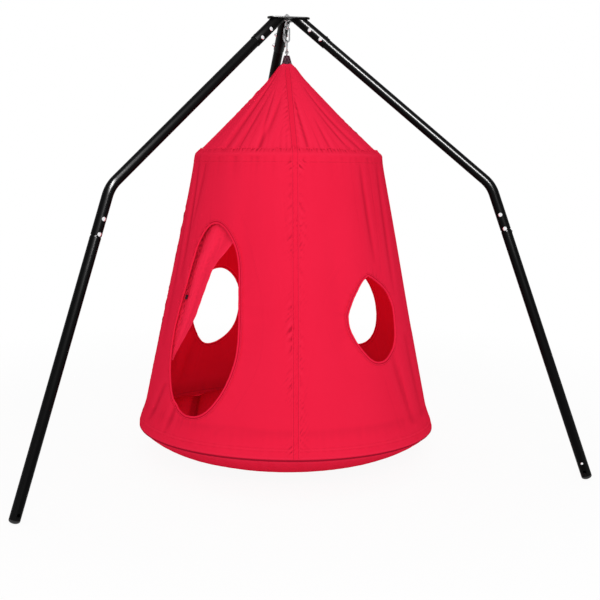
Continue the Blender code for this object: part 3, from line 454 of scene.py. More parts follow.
class Nodes:
    """A node tree under construction."""

    def __init__(self, tree: bpy.types.NodeTree) -> None:
        """Take up a tree."""
        self.tree = tree

    def add(
        self, kind: str, inputs: dict[str | int, object] | None = None, **settings: object
    ) -> bpy.types.Node:
        """Add a node.

        Args:
            kind: The node's type name.
            inputs: Its inputs by name or number, each a value or another node's output.
            settings: The node's own settings.

        Returns:
            The node.
        """
        node = self.tree.nodes.new(kind)
        for key, value in settings.items():
            setattr(node, key, value)
        for key, value in (inputs or {}).items():
            self.feed(node.inputs[key], value)
        return node

    def feed(self, socket: Socket, value: object) -> None:
        """Link an output to an input, or set its value."""
        if isinstance(value, Socket):
            self.tree.links.new(value, socket)
        else:
            socket.default_value = value

    def out(self, kind: str, output: str | int, inputs: dict | None = None, **settings: object) -> Socket:
        """Add a node as add does, and return one of its outputs."""
        return self.add(kind, inputs, **settings).outputs[output]

    def math(self, operation: str, *values: object) -> Socket:
        """Return what a sum gives for values or outputs."""
        return self.out("ShaderNodeMath", 0, dict(enumerate(values)), operation=operation)

    def span(self, value: Socket, low: float, high: float, start: float = 0.0, stop: float = 1.0) -> Socket:
        """Return a value brought from one span, start to stop, to another, low to high."""
        ends = {"Value": value, "From Min": start, "From Max": stop, "To Min": low, "To Max": high}
        return self.out("ShaderNodeMapRange", "Result", ends)


class ShaderTree(Nodes):
    """A material under construction, round one Principled shader."""

    def __init__(self, name: str) -> None:
        """Start an empty material of a name."""
        self.material = bpy.data.materials.new(name)
        self.material.use_nodes = True
        super().__init__(self.material.node_tree)
        self.shader = self.tree.nodes["Principled BSDF"]

    def set(self, **values: object) -> None:
        """Set the shader's own sockets; an underscore in a name stands for a blank."""
        for key, value in values.items():
            self.feed(self.shader.inputs[key.replace("_", " ")], value)

    def space(self) -> Socket:
        """Return the piece's own coordinates in metres."""
        return self.out("ShaderNodeTexCoord", "Object")

    def cut(self) -> Socket:
        """Return the coordinates along the cloth's cut in metres."""
        return self.out("ShaderNodeUVMap", "UV", uv_map=UV_NAME)

    def edge(self) -> Socket:
        """Return 0.5 on flat parts, more on ridges and less in creases."""
        return self.out("ShaderNodeNewGeometry", "Pointiness")

    def noise(self, where: Socket, scale: float, detail: float = 4.0, distortion: float = 0.0) -> Socket:
        """Return a noise pattern with scale cells in a metre."""
        inputs = {"Vector": where, "Scale": scale, "Detail": detail, "Distortion": distortion}
        return self.out("ShaderNodeTexNoise", "Fac", inputs)

    def bands(self, where: Socket, pitch: float, axis: str = "X", distortion: float = 0.0) -> Socket:
        """Return a pattern of bands, a pitch in metres apart."""
        inputs = {"Vector": where, "Scale": pi / 10 / pitch, "Distortion": distortion}
        return self.out("ShaderNodeTexWave", "Fac", inputs, bands_direction=axis)

    def blend(self, share: Socket, low: Colour | Socket, high: Colour) -> Socket:
        """Return a colour that runs between two by a share."""
        start = low if isinstance(low, Socket) else (*low, 1)
        return self.out("ShaderNodeMix", 2, {"Factor": share, 6: start, 7: (*high, 1)}, data_type="RGBA")

    def bump(self, height: Socket, strength: float, distance: float, base: Socket | None = None) -> Socket:
        """Return a normal that a height pattern raises, over another normal where one is given."""
        inputs = {"Height": height, "Strength": strength, "Distance": distance}
        if base is not None:
            inputs["Normal"] = base
        return self.out("ShaderNodeBump", "Normal", inputs)


class Coat(NamedTuple):
    """A material, and the record's slot that it stands for."""

    material: bpy.types.Material
    slot: Slot


@dataclass(frozen=True)
class Finish:
    """What every finish has: a name, the record's slot, a colour and a second shade of it."""

    name: str
    slot: Slot
    colour: Colour
    second: Colour

    def paint(self, tree: ShaderTree) -> None:
        """Fill in the material's nodes."""
        raise NotImplementedError

    def make(self) -> Coat:
        """Return the finish's material with its slot."""
        tree = ShaderTree(self.name)
        self.paint(tree)
        return Coat(tree.material, self.slot)


@dataclass(frozen=True)
class ClothFinish(Finish):
    """Woven cloth: threads both ways, faint creases, a colour that wanders a little, painted shade in its
    creases and a painted highlight on its ridges.
    """

    thread: float = 0.0011
    roughness: float = 0.62
    sheen: float = 0.02
    crease: float = 0.0022
    # Next: the span of pointiness over which the painted crease shade and ridge highlight come in, the stitched
    # lines' places across the cut, the half width of the painted shade along each, and the most that the painted
    # crease shade and ridge highlight take.
    relief: float = 0.014
    lines: tuple[float, ...] = ()
    furrow: float = 0.0008
    crease_share: float = 0.66
    ridge_share: float = 0.28

    def paint(self, tree: ShaderTree) -> None:
        """Fill in the weave, the creases and the colours, with the painted crease shade and ridge highlight."""
        cut, space = tree.cut(), tree.space()
        weave = tree.math("MULTIPLY", tree.bands(cut, self.thread, "X"), tree.bands(cut, self.thread, "Y"))
        creases = tree.noise(space, 14.0, 5.0, 0.8)
        normal = tree.bump(weave, 0.18, 0.0003, tree.bump(creases, 0.35, self.crease))
        shade = self.creased(tree, tree.blend(tree.noise(space, 3.5), self.second, self.colour))
        shade = self.furrowed(tree, shade, cut)
        tree.set(Base_Color=shade, Roughness=tree.span(creases, self.roughness - 0.06, self.roughness + 0.06))
        tree.set(Normal=normal, Sheen_Weight=self.sheen, Sheen_Roughness=0.5, Sheen_Tint=(*self.colour, 1))
        tree.set(Specular_IOR_Level=0.0)

    def creased(self, tree: ShaderTree, shade: Socket) -> Socket:
        """Return a colour with painted shade in the creases and a painted highlight on the ridges."""
        # Painted shade in the creases and painted highlight on the ridges, both set by the surface's pointiness.
        edge = tree.edge()
        red, green, blue = self.colour
        dark = tuple(0.50 * part for part in self.second)
        pale = (min(1.0, red * 1.12), green * 1.9, blue * 1.6)
        for side, tone, most in ((-1, dark, self.crease_share), (1, pale, self.ridge_share)):
            shade = tree.blend(tree.span(edge, 0.0, most, 0.5, 0.5 + side * self.relief), shade, tone)
        return shade

    def furrowed(self, tree: ShaderTree, shade: Socket, cut: Socket) -> Socket:
        """Return a colour with painted shade along the furrows where stitched lines run along the cut.

        Args:
            tree: The material under construction.
            shade: The colour between the lines.
            cut: The coordinates along the cut.

        Returns:
            The colour with the painted shade of its furrows.
        """
        side = tree.out("ShaderNodeSeparateXYZ", 0, {0: cut}) if self.lines else None
        for line in self.lines:
            # Painted shade: the colour deepens along each stitched line's furrow.
            near = tree.math("COMPARE", side, line, self.furrow)
            shade = tree.blend(near, shade, tuple(0.62 * part for part in self.second))
        return shade


@dataclass(frozen=True)
class WebbingFinish(Finish):
    """Heavy ribbed webbing with a slanting weave."""

    rib: float = 0.0022
    slant: float = radians(32)

    def paint(self, tree: ShaderTree) -> None:
        """Fill in the ribs and the fuzz."""
        slanted = tree.out("ShaderNodeMapping", 0, {"Vector": tree.cut(), "Rotation": (0, 0, self.slant)})
        ribs = tree.bands(slanted, self.rib, distortion=0.6)
        normal = tree.bump(tree.noise(tree.space(), 900.0), 0.2, 0.0003, tree.bump(ribs, 0.8, 0.0006))
        tree.set(Base_Color=tree.blend(ribs, self.second, self.colour), Roughness=0.85, Normal=normal)
        tree.set(Specular_IOR_Level=0.05)


@dataclass(frozen=True)
class PaintFinish(Finish):
    """Glossy black powder coat: orange peel, and the second shade worn through where edges rub."""

    def paint(self, tree: ShaderTree) -> None:
        """Fill in the peel, the gloss and the wear."""
        space = tree.space()
        worn = tree.span(tree.edge(), 0.0, 0.5, 0.56, 0.68)
        shade = tree.blend(worn, self.colour, self.second)
        tree.set(Base_Color=shade, Metallic=0.0, Specular_IOR_Level=0.025)
        tree.set(Roughness=tree.span(tree.noise(space, 7.0), 0.22, 0.28))
        tree.set(Normal=tree.bump(tree.noise(space, 420.0, 2.0), 0.02, 0.0002))


@dataclass(frozen=True)
class ZincFinish(Finish):
    """Zinc-plated steel: bright, with a faint spangle and clouds of its second shade; where that shade is dark,
    the clouds are painted reflections of dark surroundings.
    """

    roughness: float = 0.20

    def paint(self, tree: ShaderTree) -> None:
        """Fill in the spangle and the clouds, which are painted reflection where the second shade is dark."""
        space = tree.space()
        spangle = tree.out("ShaderNodeTexVoronoi", "Distance", {"Vector": space, "Scale": 260.0})
        cloud = tree.noise(space, 90.0)
        # The clouds blend towards the second shade; on the plain zinc it is very dark, and they paint
        # reflections of dark surroundings.
        tree.set(Base_Color=tree.blend(cloud, self.second, self.colour), Metallic=1.0)
        tree.set(Roughness=tree.span(cloud, self.roughness, self.roughness + 0.16))
        tree.set(Normal=tree.bump(spangle, 0.12, 0.0002))


@dataclass(frozen=True)
class PlasticFinish(Finish):
    """Moulded plastic with a fine grain."""

    roughness: float = 0.45
    grain: float = 700.0

    def paint(self, tree: ShaderTree) -> None:
        """Fill in the grain and the clouds of the colour."""
        space = tree.space()
        cloud = tree.noise(space, 18.0)
        tree.set(Base_Color=tree.blend(cloud, self.second, self.colour), Specular_IOR_Level=0.4)
        tree.set(Roughness=tree.span(cloud, self.roughness - 0.08, self.roughness + 0.08))
        tree.set(Normal=tree.bump(tree.noise(space, self.grain, 2.0), 0.2, 0.0002))


class Finishes:
    """The object's finishes, each made once."""

    def __init__(self) -> None:
        """Make every material."""
        cloth, tape, webbing = Slot.CLOTH, Slot.TAPE, Slot.WEBBING
        deep, sewn = (0.80, 0.011, 0.045), {"thread": 0.0016, "relief": 0.05}
        self.cloth = ClothFinish("red_nylon", cloth, (0.85, 0.017, 0.057), (0.80, 0.013, 0.048)).make()
        # A lighter copy of the wall's cloth: painted light on the roof.
        self.roof = ClothFinish("red_roof_nylon", cloth, (0.93, 0.021, 0.068), (0.88, 0.016, 0.057)).make()
        # A lighter copy of the wall's cloth: painted light on the flap, which stands in the door's shade.
        self.flap = ClothFinish("red_flap_nylon", cloth, (0.97, 0.024, 0.074), (0.92, 0.018, 0.062)).make()
        # The seam tape and the binding carry painted shade along their stitched lines.
        self.tape = ClothFinish(
            "red_seam_tape", tape, (0.87, 0.017, 0.058), deep, lines=(0.004, 0.022), **sewn
        ).make()
        self.rim = ClothFinish(
            "red_binding", tape, (0.86, 0.016, 0.056), deep, lines=(0.0036, 0.0098), **sewn
        ).make()
        # Much darker than the tape it stands for: painted shade under the base hoop.
        self.edging = ClothFinish(
            "deep_red_binding", tape, (0.40, 0.007, 0.026), (0.34, 0.005, 0.020), 0.0016
        ).make()
        self.thread = ClothFinish(
            "red_thread", cloth, (0.88, 0.026, 0.075), (0.80, 0.016, 0.055), crease=0.0
        ).make()
        self.skin = ClothFinish(
            "red_cushion_skin", Slot.CUSHION, (0.60, 0.008, 0.030), (0.52, 0.006, 0.025), roughness=0.5
        ).make()
        self.webbing = WebbingFinish(
            "dark_webbing", webbing, (0.085, 0.034, 0.048), (0.035, 0.012, 0.019)
        ).make()
        self.webbing_thread = PlasticFinish(
            "webbing_thread", webbing, (0.40, 0.27, 0.31), (0.30, 0.19, 0.22)
        ).make()
        self.coat = PaintFinish(
            "black_powder_coat", Slot.BLACK_COAT, (0.0020, 0.0020, 0.0022), (0.02,) * 3
        ).make()
        # The very dark second shade paints reflections of dark surroundings into the zinc's clouds.
        self.zinc = ZincFinish("zinc_plate", Slot.ZINC, (0.90, 0.90, 0.91), (0.10, 0.10, 0.11)).make()
        self.bright = ZincFinish(
            "bright_bolt_zinc", Slot.ZINC, (0.95, 0.95, 0.96), (0.84, 0.84, 0.86), 0.3
        ).make()
        self.rubber = PlasticFinish(
            "black_foot_plastic", Slot.BLACK_PLASTIC, (0.012, 0.012, 0.013), (0.006,) * 3, 0.38
        ).make()
        self.rod = PlasticFinish(
            "hoop_fibreglass", Slot.HOOP, (0.62, 0.62, 0.58), (0.5, 0.5, 0.46), 0.4, 300.0
        ).make()
        self.valve = PlasticFinish(
            "valve_plastic", Slot.VALVE, (0.8, 0.8, 0.76), (0.7, 0.7, 0.66), 0.35
        ).make()


def dress(
    name: str, mesh: Mesh, coat: Coat, body: Body, nodes: Sequence[str] = (),
    place: Matrix | Callable[[Mesh], None] | None = None, angle: float = 35.0,
) -> Object:
    """Finish a piece and hang it on its body.

    Args:
        name: The piece's name.
        mesh: Its mesh.
        coat: Its material and the record's slot.
        body: The body that it rides on.
        nodes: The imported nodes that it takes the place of.
        place: The matrix or the rule that sets its mesh in place.
        angle: Edges past this angle, in degrees, stay sharp.

    Returns:
        The object, at the origin.
    """
    if isinstance(place, Matrix):
        mesh.transform(place)
    elif place is not None:
        place(mesh)
    mesh.materials.clear()
    mesh.materials.append(coat.material)
    item = link_object(name, smoothed(mesh, angle))
    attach(item, body.value)
    if nodes:
        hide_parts(*nodes)
    LOG.info("%s rides on %s: %d faces", name, body.value, len(mesh.polygons))
    return item


class GeometryTree(Nodes):
    """A Geometry Nodes tree under construction, with named inputs for its sizes."""

    def __init__(self, name: str) -> None:
        """Start a tree that takes and gives geometry."""
        super().__init__(bpy.data.node_groups.new(name, "GeometryNodeTree"))
        for way in ("INPUT", "OUTPUT"):
            self.tree.interface.new_socket("Geometry", in_out=way, socket_type="NodeSocketGeometry")
        self.source = self.tree.nodes.new("NodeGroupInput")

    def given(self, name: str, kind: str = "NodeSocketFloat") -> Socket:
        """Add a named input and return its socket."""
        self.tree.interface.new_socket(name, in_out="INPUT", socket_type=kind)
        return self.source.outputs[name]

    def sizes(self, *names: str) -> list[Socket]:
        """Add a named input for each size and return their sockets."""
        return [self.given(name) for name in names]

    def end(self, geometry: Socket) -> GeometryTree:
        """Close the tree: make the instances real, give them the material that comes in, and return it."""
        real = self.out("GeometryNodeRealizeInstances", 0, {"Geometry": geometry})
        material = self.given("Material", "NodeSocketMaterial")
        dressed = self.out("GeometryNodeSetMaterial", 0, {"Geometry": real, "Material": material})
        self.add("NodeGroupOutput", {0: dressed})
        return self

    def run(self, coat: Coat, source: Mesh | None = None, **values: object) -> Mesh:
        """Run the tree.

        Args:
            coat: The material for what it makes.
            source: The geometry that goes in, where it needs some.
            values: The tree's inputs by name; an underscore stands for a blank.

        Returns:
            The plain mesh that comes out.
        """
        item = link_object("nodes_source", source or line_mesh([[Vector(), Vector((0.01, 0, 0))]]))
        modifier = item.modifiers.new("nodes", "NODES")
        modifier.node_group = self.tree
        sockets = {socket.name: socket.identifier for socket in self.tree.interface.items_tree}
        for key, value in {**values, "Material": coat.material}.items():
            modifier[sockets[key.replace("_", " ")]] = value
        return settled(item)


def stitch_tree() -> GeometryTree:
    """Return the tree that sews a row of stitches along every line of a mesh."""
    made = GeometryTree("stitch_row")
    spacing, reach, thread = made.sizes("Spacing", "Stitch Length", "Thread Radius")
    line = made.out("GeometryNodeMeshToCurve", 0, {"Mesh": made.source.outputs["Geometry"]})
    points = made.out("GeometryNodeResampleCurve", 0, {"Curve": line, "Length": spacing}, mode="LENGTH")
    tangent = made.out("GeometryNodeInputTangent", 0)
    turn = made.out("FunctionNodeAlignRotationToVector", 0, {"Vector": tangent}, axis="X")
    half = made.math("MULTIPLY", reach, 0.5)
    scale = made.out("ShaderNodeCombineXYZ", 0, {"X": half, "Y": thread, "Z": thread})
    bead = made.out("GeometryNodeMeshIcoSphere", "Mesh", {"Radius": 1.0, "Subdivisions": 1})
    inputs = {"Points": points, "Instance": bead, "Rotation": turn, "Scale": scale}
    return made.end(made.out("GeometryNodeInstanceOnPoints", 0, inputs))


def scatter_tree() -> GeometryTree:
    """Return the tree that sets one object at each point, turned by the point's own turn attribute."""
    made = GeometryTree("fastener_set")
    shape = made.given("Shape", "NodeSocketObject")
    turn = made.out("GeometryNodeInputNamedAttribute", 0, {"Name": "turn"}, data_type="FLOAT_VECTOR")
    spin = made.out("FunctionNodeEulerToRotation", 0, {0: turn})
    solid = made.out("GeometryNodeObjectInfo", "Geometry", {"Object": shape})
    inputs = {"Points": made.source.outputs["Geometry"], "Instance": solid, "Rotation": spin}
    return made.end(made.out("GeometryNodeInstanceOnPoints", 0, inputs))


def thread_tree() -> GeometryTree:
    """Return the tree that winds a screw thread's ridge up the Z axis from Z = 0."""
    made = GeometryTree("screw_thread")
    radius, pitch, length, ridge = made.sizes("Radius", "Pitch", "Length", "Ridge")
    sizes = {"Start Radius": radius, "End Radius": radius, "Height": length}
    turns = made.math("DIVIDE", length, pitch)
    spiral = made.out("GeometryNodeCurveSpiral", 0, {"Resolution": 24, "Rotations": turns, **sizes})
    profile = made.out("GeometryNodeCurvePrimitiveCircle", 0, {"Resolution": 6, "Radius": ridge})
    inputs = {"Curve": spiral, "Profile Curve": profile, "Fill Caps": True}
    return made.end(made.out("GeometryNodeCurveToMesh", 0, inputs))


def hoop_tree() -> GeometryTree:
    """Return the tree that bends a round rod to a level hoop."""
    made = GeometryTree("bent_hoop")
    radius, rod, height = made.sizes("Hoop Radius", "Rod Radius", "Height")
    ring = made.out("GeometryNodeCurvePrimitiveCircle", 0, {"Resolution": 224, "Radius": radius})
    profile = made.out("GeometryNodeCurvePrimitiveCircle", 0, {"Resolution": 16, "Radius": rod})
    solid = made.out("GeometryNodeCurveToMesh", 0, {"Curve": ring, "Profile Curve": profile})
    lift = made.out("ShaderNodeCombineXYZ", 0, {"Z": height})
    return made.end(made.out("GeometryNodeTransform", 0, {"Geometry": solid, "Translation": lift}))


@dataclass(frozen=True)
class Fold:
    """A long soft fold in the cloth: degrees and shares of the height at its two ends."""

    top_turn: float
    foot_turn: float
    top: float
    foot: float
    width: float
    depth: float

    def at(self, azimuth: float, up: float) -> float:
        """Return how far the fold draws the cloth in at a place."""
        if not self.foot < up < self.top:
            return 0.0
        share = (self.top - up) / (self.top - self.foot)
        centre = radians(self.top_turn + (self.foot_turn - self.top_turn) * share)
        off = remainder(azimuth - centre, TURN) / radians(self.width)
        if abs(off) > 3:
            return 0.0
        return 1.5 * self.depth * (bell(off, 1) - 0.35 * bell(off, 2)) * sin(pi * share) ** 0.7


WALL_FOLDS = (
    Fold(-72, -66, 1.0, 0.55, 3.6, 0.0085),
    Fold(-80, -74, 0.80, 0.30, 4.5, 0.006),
    Fold(-60, -63, 0.98, 0.72, 2.4, 0.003),
    Fold(41, 43, 1.0, 0.62, 2.4, 0.004),
    Fold(60, 56, 1.0, 0.50, 3.0, 0.0055),
    Fold(73, 79, 0.95, 0.35, 4.0, 0.006),
    Fold(46, 54, 0.33, 0.05, 3.0, 0.005),
    Fold(61, 66, 0.38, 0.06, 4.0, 0.007),
    Fold(-61, -70, 0.20, 0.03, 3.0, 0.005),
    Fold(-50, -54, 0.17, 0.02, 2.2, 0.0035),
    Fold(-30, -20, 0.98, 0.45, 7.0, 0.0035),
    Fold(-14, -24, 0.50, 0.08, 8.0, 0.003),
    Fold(12, 22, 0.90, 0.20, 8.0, 0.003),
    Fold(100, 104, 0.97, 0.30, 4.5, 0.007),
    Fold(127, 124, 1.0, 0.62, 3.0, 0.006),
    Fold(141, 136, 0.32, 0.05, 4.0, 0.006),
    Fold(166, 159, 0.95, 0.35, 6.0, 0.005),
    Fold(-163, -168, 0.92, 0.25, 6.0, 0.005),
    Fold(-136, -133, 1.0, 0.62, 3.0, 0.006),
    Fold(-128, -122, 0.30, 0.05, 4.0, 0.006),
    Fold(-106, -110, 0.96, 0.35, 5.0, 0.008),
)
ROOF_FOLDS = tuple(
    Fold(top_turn + turn, foot_turn + turn, top, foot, width, depth)
    for turn in (0, 180)
    for top_turn, foot_turn, top, foot, width, depth in (
        (-12, -29, 0.66, -0.30, 3.4, 0.0060),
        (-50, -46, 0.92, -0.35, 3.8, 0.0090),
        (-26, -21, 0.72, -0.10, 2.2, 0.0030),
        (-34, -38, 0.70, -0.25, 2.4, 0.0036),
        (-76, -72, 0.92, -0.15, 5.0, 0.0075),
        (-95, -104, 0.90, -0.25, 6.0, 0.0070),
        (6, 10, 0.62, -0.30, 2.4, 0.0050),
        (34, 56, 0.74, -0.30, 3.4, 0.0070),
        (30, 42, 0.50, -0.20, 2.4, 0.0040),
        (66, 76, 0.85, -0.20, 5.0, 0.0060),
        (22, 24, 0.40, -0.35, 2.0, 0.0030),
    )
)


@dataclass(frozen=True)
class Opening:
    """A door or window: its azimuth, height above the base hoop, half width and reach up and down."""

    degrees: float
    rise: float
    half_width: float
    above: float
    below: float
    point: float = 0.0
    pinch: float = 0.0
    skews: tuple[float, float] = (0.0, 0.0)
    tip: float = 0.0
    fill: float = 1.0

    @property
    def turn(self) -> float:
        """The azimuth in radians."""
        return radians(self.degrees)

    def outline(self, count: int, grow: float = 0.0) -> Profile:
        """Return the outline's points, grown by a margin."""
        line = []
        for step in range(count):
            side, lift = cos(TURN * step / count), sin(TURN * step / count)
            tall = (self.above if lift > 0 else self.below) + grow
            half = self.half_width * (1 - (lift > 0) * self.pinch * sin(pi * lift) ** 2)
            shift = self.skews[lift < 0] * sin(pi * lift * abs(lift)) + self.tip * max(lift, 0) ** 2
            if lift < 0 < side:
                side **= self.fill
            if lift > 0:
                lift = lift * (1 - self.point) + (1 - abs(side)) * self.point
            line.append(((half + grow) * side + shift, tall * lift))
        return line

    def near(self, side: float, lift: float) -> tuple[float, float]:
        """Return how far outside the outline a point is, and its angle round it."""
        tall = self.above if lift > 0 else self.below
        scaled = hypot(side / self.half_width, lift / tall)
        away = (scaled - 1) * hypot(side, lift) / max(scaled, 0.001)
        return away, atan2(lift / tall, side / self.half_width)


OPENINGS = {
    Quarter.DOOR: Opening(-42.7, 0.361, 0.156, 0.437, 0.249, pinch=0.10, skews=(0.010, 0.003), fill=0.84),
    Quarter.WINDOW_RIGHT: Opening(37.9, 0.466, 0.115, 0.149, 0.155, 0.30, skews=(0.010, -0.007), tip=-0.009),
    Quarter.WINDOW_REAR_RIGHT: Opening(139.8, 0.414, 0.126, 0.166, 0.166),
    Quarter.WINDOW_REAR_LEFT: Opening(-142.4, 0.414, 0.126, 0.166, 0.168, skews=(0.0, 0.010)),
}


@dataclass(eq=False)
class TentForm:
    """The tent's driving sizes, and the surfaces of cloth that follow from them.

    The cloth hangs with its front a little higher than its back, more so at its foot, so hang, which sets a
    piece of it in place, bends it a little. The ring and the stand use the plain place.
    """

    base_z: float
    place: Matrix
    leans: tuple[float, float] = (0.020, 0.058)
    lean_turn: float = radians(-17)
    drop: float = 0.010
    sway: float = 0.009
    twist: float = radians(1.3)
    cloth: float = 0.0015
    ply: float = 0.0011
    ply_gap: float = 0.0004
    wall_height: float = 1.048
    roof_height: float = 0.348
    base_radius: float = 0.5865
    roof_radius: float = 0.357
    tip_radius: float = 0.0125
    base_rod: float = 0.008
    top_rod: float = 0.007
    clearance: float = 0.0003
    flare: float = 0.010
    flare_height: float = 0.094
    wrap: float = radians(50)
    sag: float = 0.006
    crest: float = 0.0070
    belly: float = 0.089
    belly_level: float = 0.8
    belly_power: float = 6.2
    pleats: int = 3
    pleat_depth: float = 0.0038
    gather: float = 0.0017
    pucker_depth: float = 0.0050
    pucker_width: float = 0.027
    hem_row: float = 0.027
    groove: float = 0.0007
    lap: float = 0.026
    shoulder: float = 0.0034
    shoulder_passes: int = 16
    roof_rows: int = 84

    def __post_init__(self) -> None:
        """Work out the heights, the slopes and the hoops' seats."""
        self.roof_z = self.base_z + self.wall_height
        self.tip_z = self.roof_z + self.roof_height
        self.slope = (self.base_radius - self.flare - self.roof_radius) / self.wall_height
        roof_slope = (self.roof_radius - self.tip_radius) / self.roof_height
        self.base_wrap = self.base_rod + self.clearance + self.cloth
        self.base_hoop_radius = self.base_radius - self.base_wrap
        self.top_wrap = self.top_rod + self.clearance + self.cloth
        wall = hypot(1, self.slope) * self.top_wrap
        roof = hypot(1, roof_slope) * (self.top_wrap + self.cloth)
        drop = (roof - wall) / (self.slope + roof_slope)
        self.top_hoop_radius = self.roof_radius + self.slope * drop - wall
        self.top_hoop_z = self.roof_z - drop
        self.wall_normal = atan(self.slope)
        self.roof_normal = atan(roof_slope)
        self.roof_slant = hypot(self.roof_radius, self.roof_height)

    def depth(self, height: float) -> float:
        """Return the share of the wall's height from its top down to a height."""
        return clamp((self.roof_z - height) / self.wall_height)

    def rise(self, point: Vector) -> float:
        """Return how much higher a point of the cloth hangs than in a level tent."""
        depth = self.depth(point.z)
        sunk = clamp((self.base_z - point.z) / self.belly)
        lean = (self.leans[0] + (self.leans[1] - self.leans[0]) * depth) * (1 - self.belly_level * sunk)
        return lean * point.dot(polar(1, self.lean_turn, 0)) - self.drop * depth

    def hang(self, mesh: Mesh) -> None:
        """Set a piece of cloth, made in the level tent's frame, in place."""
        for point in mesh.vertices:
            above = clamp((self.tip_z - point.co.z) / self.roof_height)
            sway = self.sway * above * (1 - self.depth(point.co.z))
            point.co.z += self.rise(point.co)
            point.co.x += sway
        mesh.transform(self.place @ Matrix.Rotation(self.twist, 4, "Z"))

    def pleat(self, azimuth: float) -> float:
        """Return how deep the panel's even pleats are, 0 to 1, with the cloth flat beside each seam."""
        across = (azimuth / (pi / 2)) % 1.0
        return (1 - cos(TURN * self.pleats * clamp((across - 0.07) / 0.86))) / 2

    def seam_pucker(self, azimuth: float, radius: float, height: float) -> float:
        """Return the small slanting puckers that the seam's thread draws in."""
        off = remainder(azimuth, pi / 2) * radius
        side, seam = 40.0 if off > 0 else 0.0, round(azimuth / pi * 2)
        strength = max(0.0, 0.5 + 1.6 * noise_at(height * 6, side, seam))
        ripple = noise_at(height * 105 + abs(off) * 85, side + off * 30, seam)
        drawn = self.pucker_depth * strength * ripple
        return drawn * bell(off, self.pucker_width) * min(1.0, abs(off) / 0.006)

    def rim_pucker(self, azimuth: float, radius: float, height: float) -> float:
        """Return the puckers that a door's or window's binding draws into the wall round it."""
        opening = OPENINGS[Quarter.holding(azimuth)]
        side = radius * sin(azimuth - opening.turn)
        away, angle = opening.near(side, height - self.base_z - opening.rise)
        if not -0.02 < away < 0.09:
            return 0.0
        detail = opening.half_width * 90
        ripple = noise_at(detail * cos(angle), detail * sin(angle), opening.turn)
        broad = noise_at(2.2 * cos(angle), 2.2 * sin(angle), opening.turn + 5)
        return 0.0016 * ripple * fading(away, 0.016) + 0.0035 * broad * fading(away, 0.045)

    def wall_radius(self, azimuth: float, height: float) -> float:
        """Return the radius of the wall cloth's outer face, with its folds, gathers and puckers."""
        fall, rise = self.roof_z - height, height - self.base_z
        up, lip = clamp(rise / self.wall_height), smooth_step(fall / 0.012)
        radius = self.roof_radius + self.slope * fall + self.flare * smooth_step(1 - rise / self.flare_height)
        foot = smooth_step(rise / 0.02) * fading(rise, 0.045)
        inward = self.pleat_depth * self.pleat(azimuth) * sin(pi * up)
        inward -= (self.ply + self.ply_gap + self.shoulder) * fading(fall, 0.035)
        inward += sum(fold.at(azimuth, up) for fold in WALL_FOLDS)
        inward -= self.gather * lip * fading(fall, 0.032) * ring_noise(azimuth, 19, height * 3)
        inward -= 0.0045 * lip * fading(fall, 0.10) * ring_noise(azimuth, 6.5, height, 7.0)
        inward -= 0.0013 * foot * ring_noise(azimuth, 22, height * 4, 3.0)
        inward -= 0.004 * sin(pi * up) ** 0.6 * ring_noise(azimuth, 2.4, height * 1.1, 9.0)
        top_row, foot_row = (bell(way - self.hem_row, 0.0026) for way in (fall, rise))
        inward += self.groove * (0.3 * top_row - 0.6 * foot_row)
        inward -= self.seam_pucker(azimuth, radius, height) * smooth_step(min(fall, rise) / 0.03)
        return radius - inward + self.rim_pucker(azimuth, radius, height)

    def wall_heights(self) -> list[float]:
        """Return the heights of the wall's rows, close together by both hoops."""
        start = self.top_hoop_z + self.top_wrap * sin(self.wall_normal)
        steps = [0.0]
        while steps[-1] < start - self.base_z:
            near = min(steps[-1], start - self.base_z - steps[-1])
            steps.append(steps[-1] + (0.0024 if near < 0.05 else 0.0085))
        scale = (start - self.base_z) / steps[-1]
        return [start - step * scale for step in steps]

    @lru_cache(maxsize=None)
    def _cached_wall(self, azimuth: float) -> Section:
        """Return the wall's section, kept for reuse."""
        section = [self.lap_face(azimuth, step / 12) for step in range(12)]
        reach = self.top_wrap + self.ply + self.ply_gap + self.shoulder
        for step in range(7):
            angle = self.roof_normal + (self.wall_normal - self.roof_normal) * step / 7
            section.append((self.top_hoop_radius + reach * cos(angle), self.top_hoop_z + reach * sin(angle)))
        section += [(self.wall_radius(azimuth, height), height) for height in self.wall_heights()]
        for _ in range(self.shoulder_passes):
            before = list(section)
            for k in range(6, 27):
                section[k] = tuple((a + 2 * b + c) / 4 for a, b, c in zip(*before[k - 1:k + 2]))
        for step in range(1, 8):
            angle, wrap = -self.wrap * step / 7, self.base_wrap
            section.append((self.base_hoop_radius + wrap * cos(angle), self.base_z + wrap * sin(angle)))
        return tuple(section)

    def wall_section(self, azimuth: float) -> Section:
        """Return (radius, height) down the wall, from its lap on the roof to under the base hoop."""
        return self._cached_wall(round(azimuth, 9))

    def roof_face(self, azimuth: float, down: float) -> tuple[float, float]:
        """Return (radius, height) of the roof's outer face at a share of the way down to the top hoop."""
        edge_radius = self.top_hoop_radius + self.top_wrap * cos(self.roof_normal)
        edge_z = self.top_hoop_z + self.top_wrap * sin(self.roof_normal)
        height = self.tip_z - (self.tip_z - edge_z) * down
        radius = self.tip_radius + (edge_radius - self.tip_radius) * down
        swell = sin(pi * down)
        inward = self.sag * swell + 0.006 * swell * ring_noise(azimuth, 2.6, down * 0.5, 2.0)
        inward += sum(fold.at(azimuth, 1 - down) for fold in ROOF_FOLDS)
        near_edge = fading((1 - down) * self.roof_height, 0.042)
        inward += 0.0050 * near_edge * ring_noise(azimuth, 19.0, down * 2, 6.0)
        inward -= self.seam_pucker(azimuth, max(radius, 0.05), height) * swell
        crest = self.crest * (0.4 + 0.6 * smooth_step(down / 0.02)) * bell(down, 0.104)
        return radius + crest - inward * (1 - down**26), height

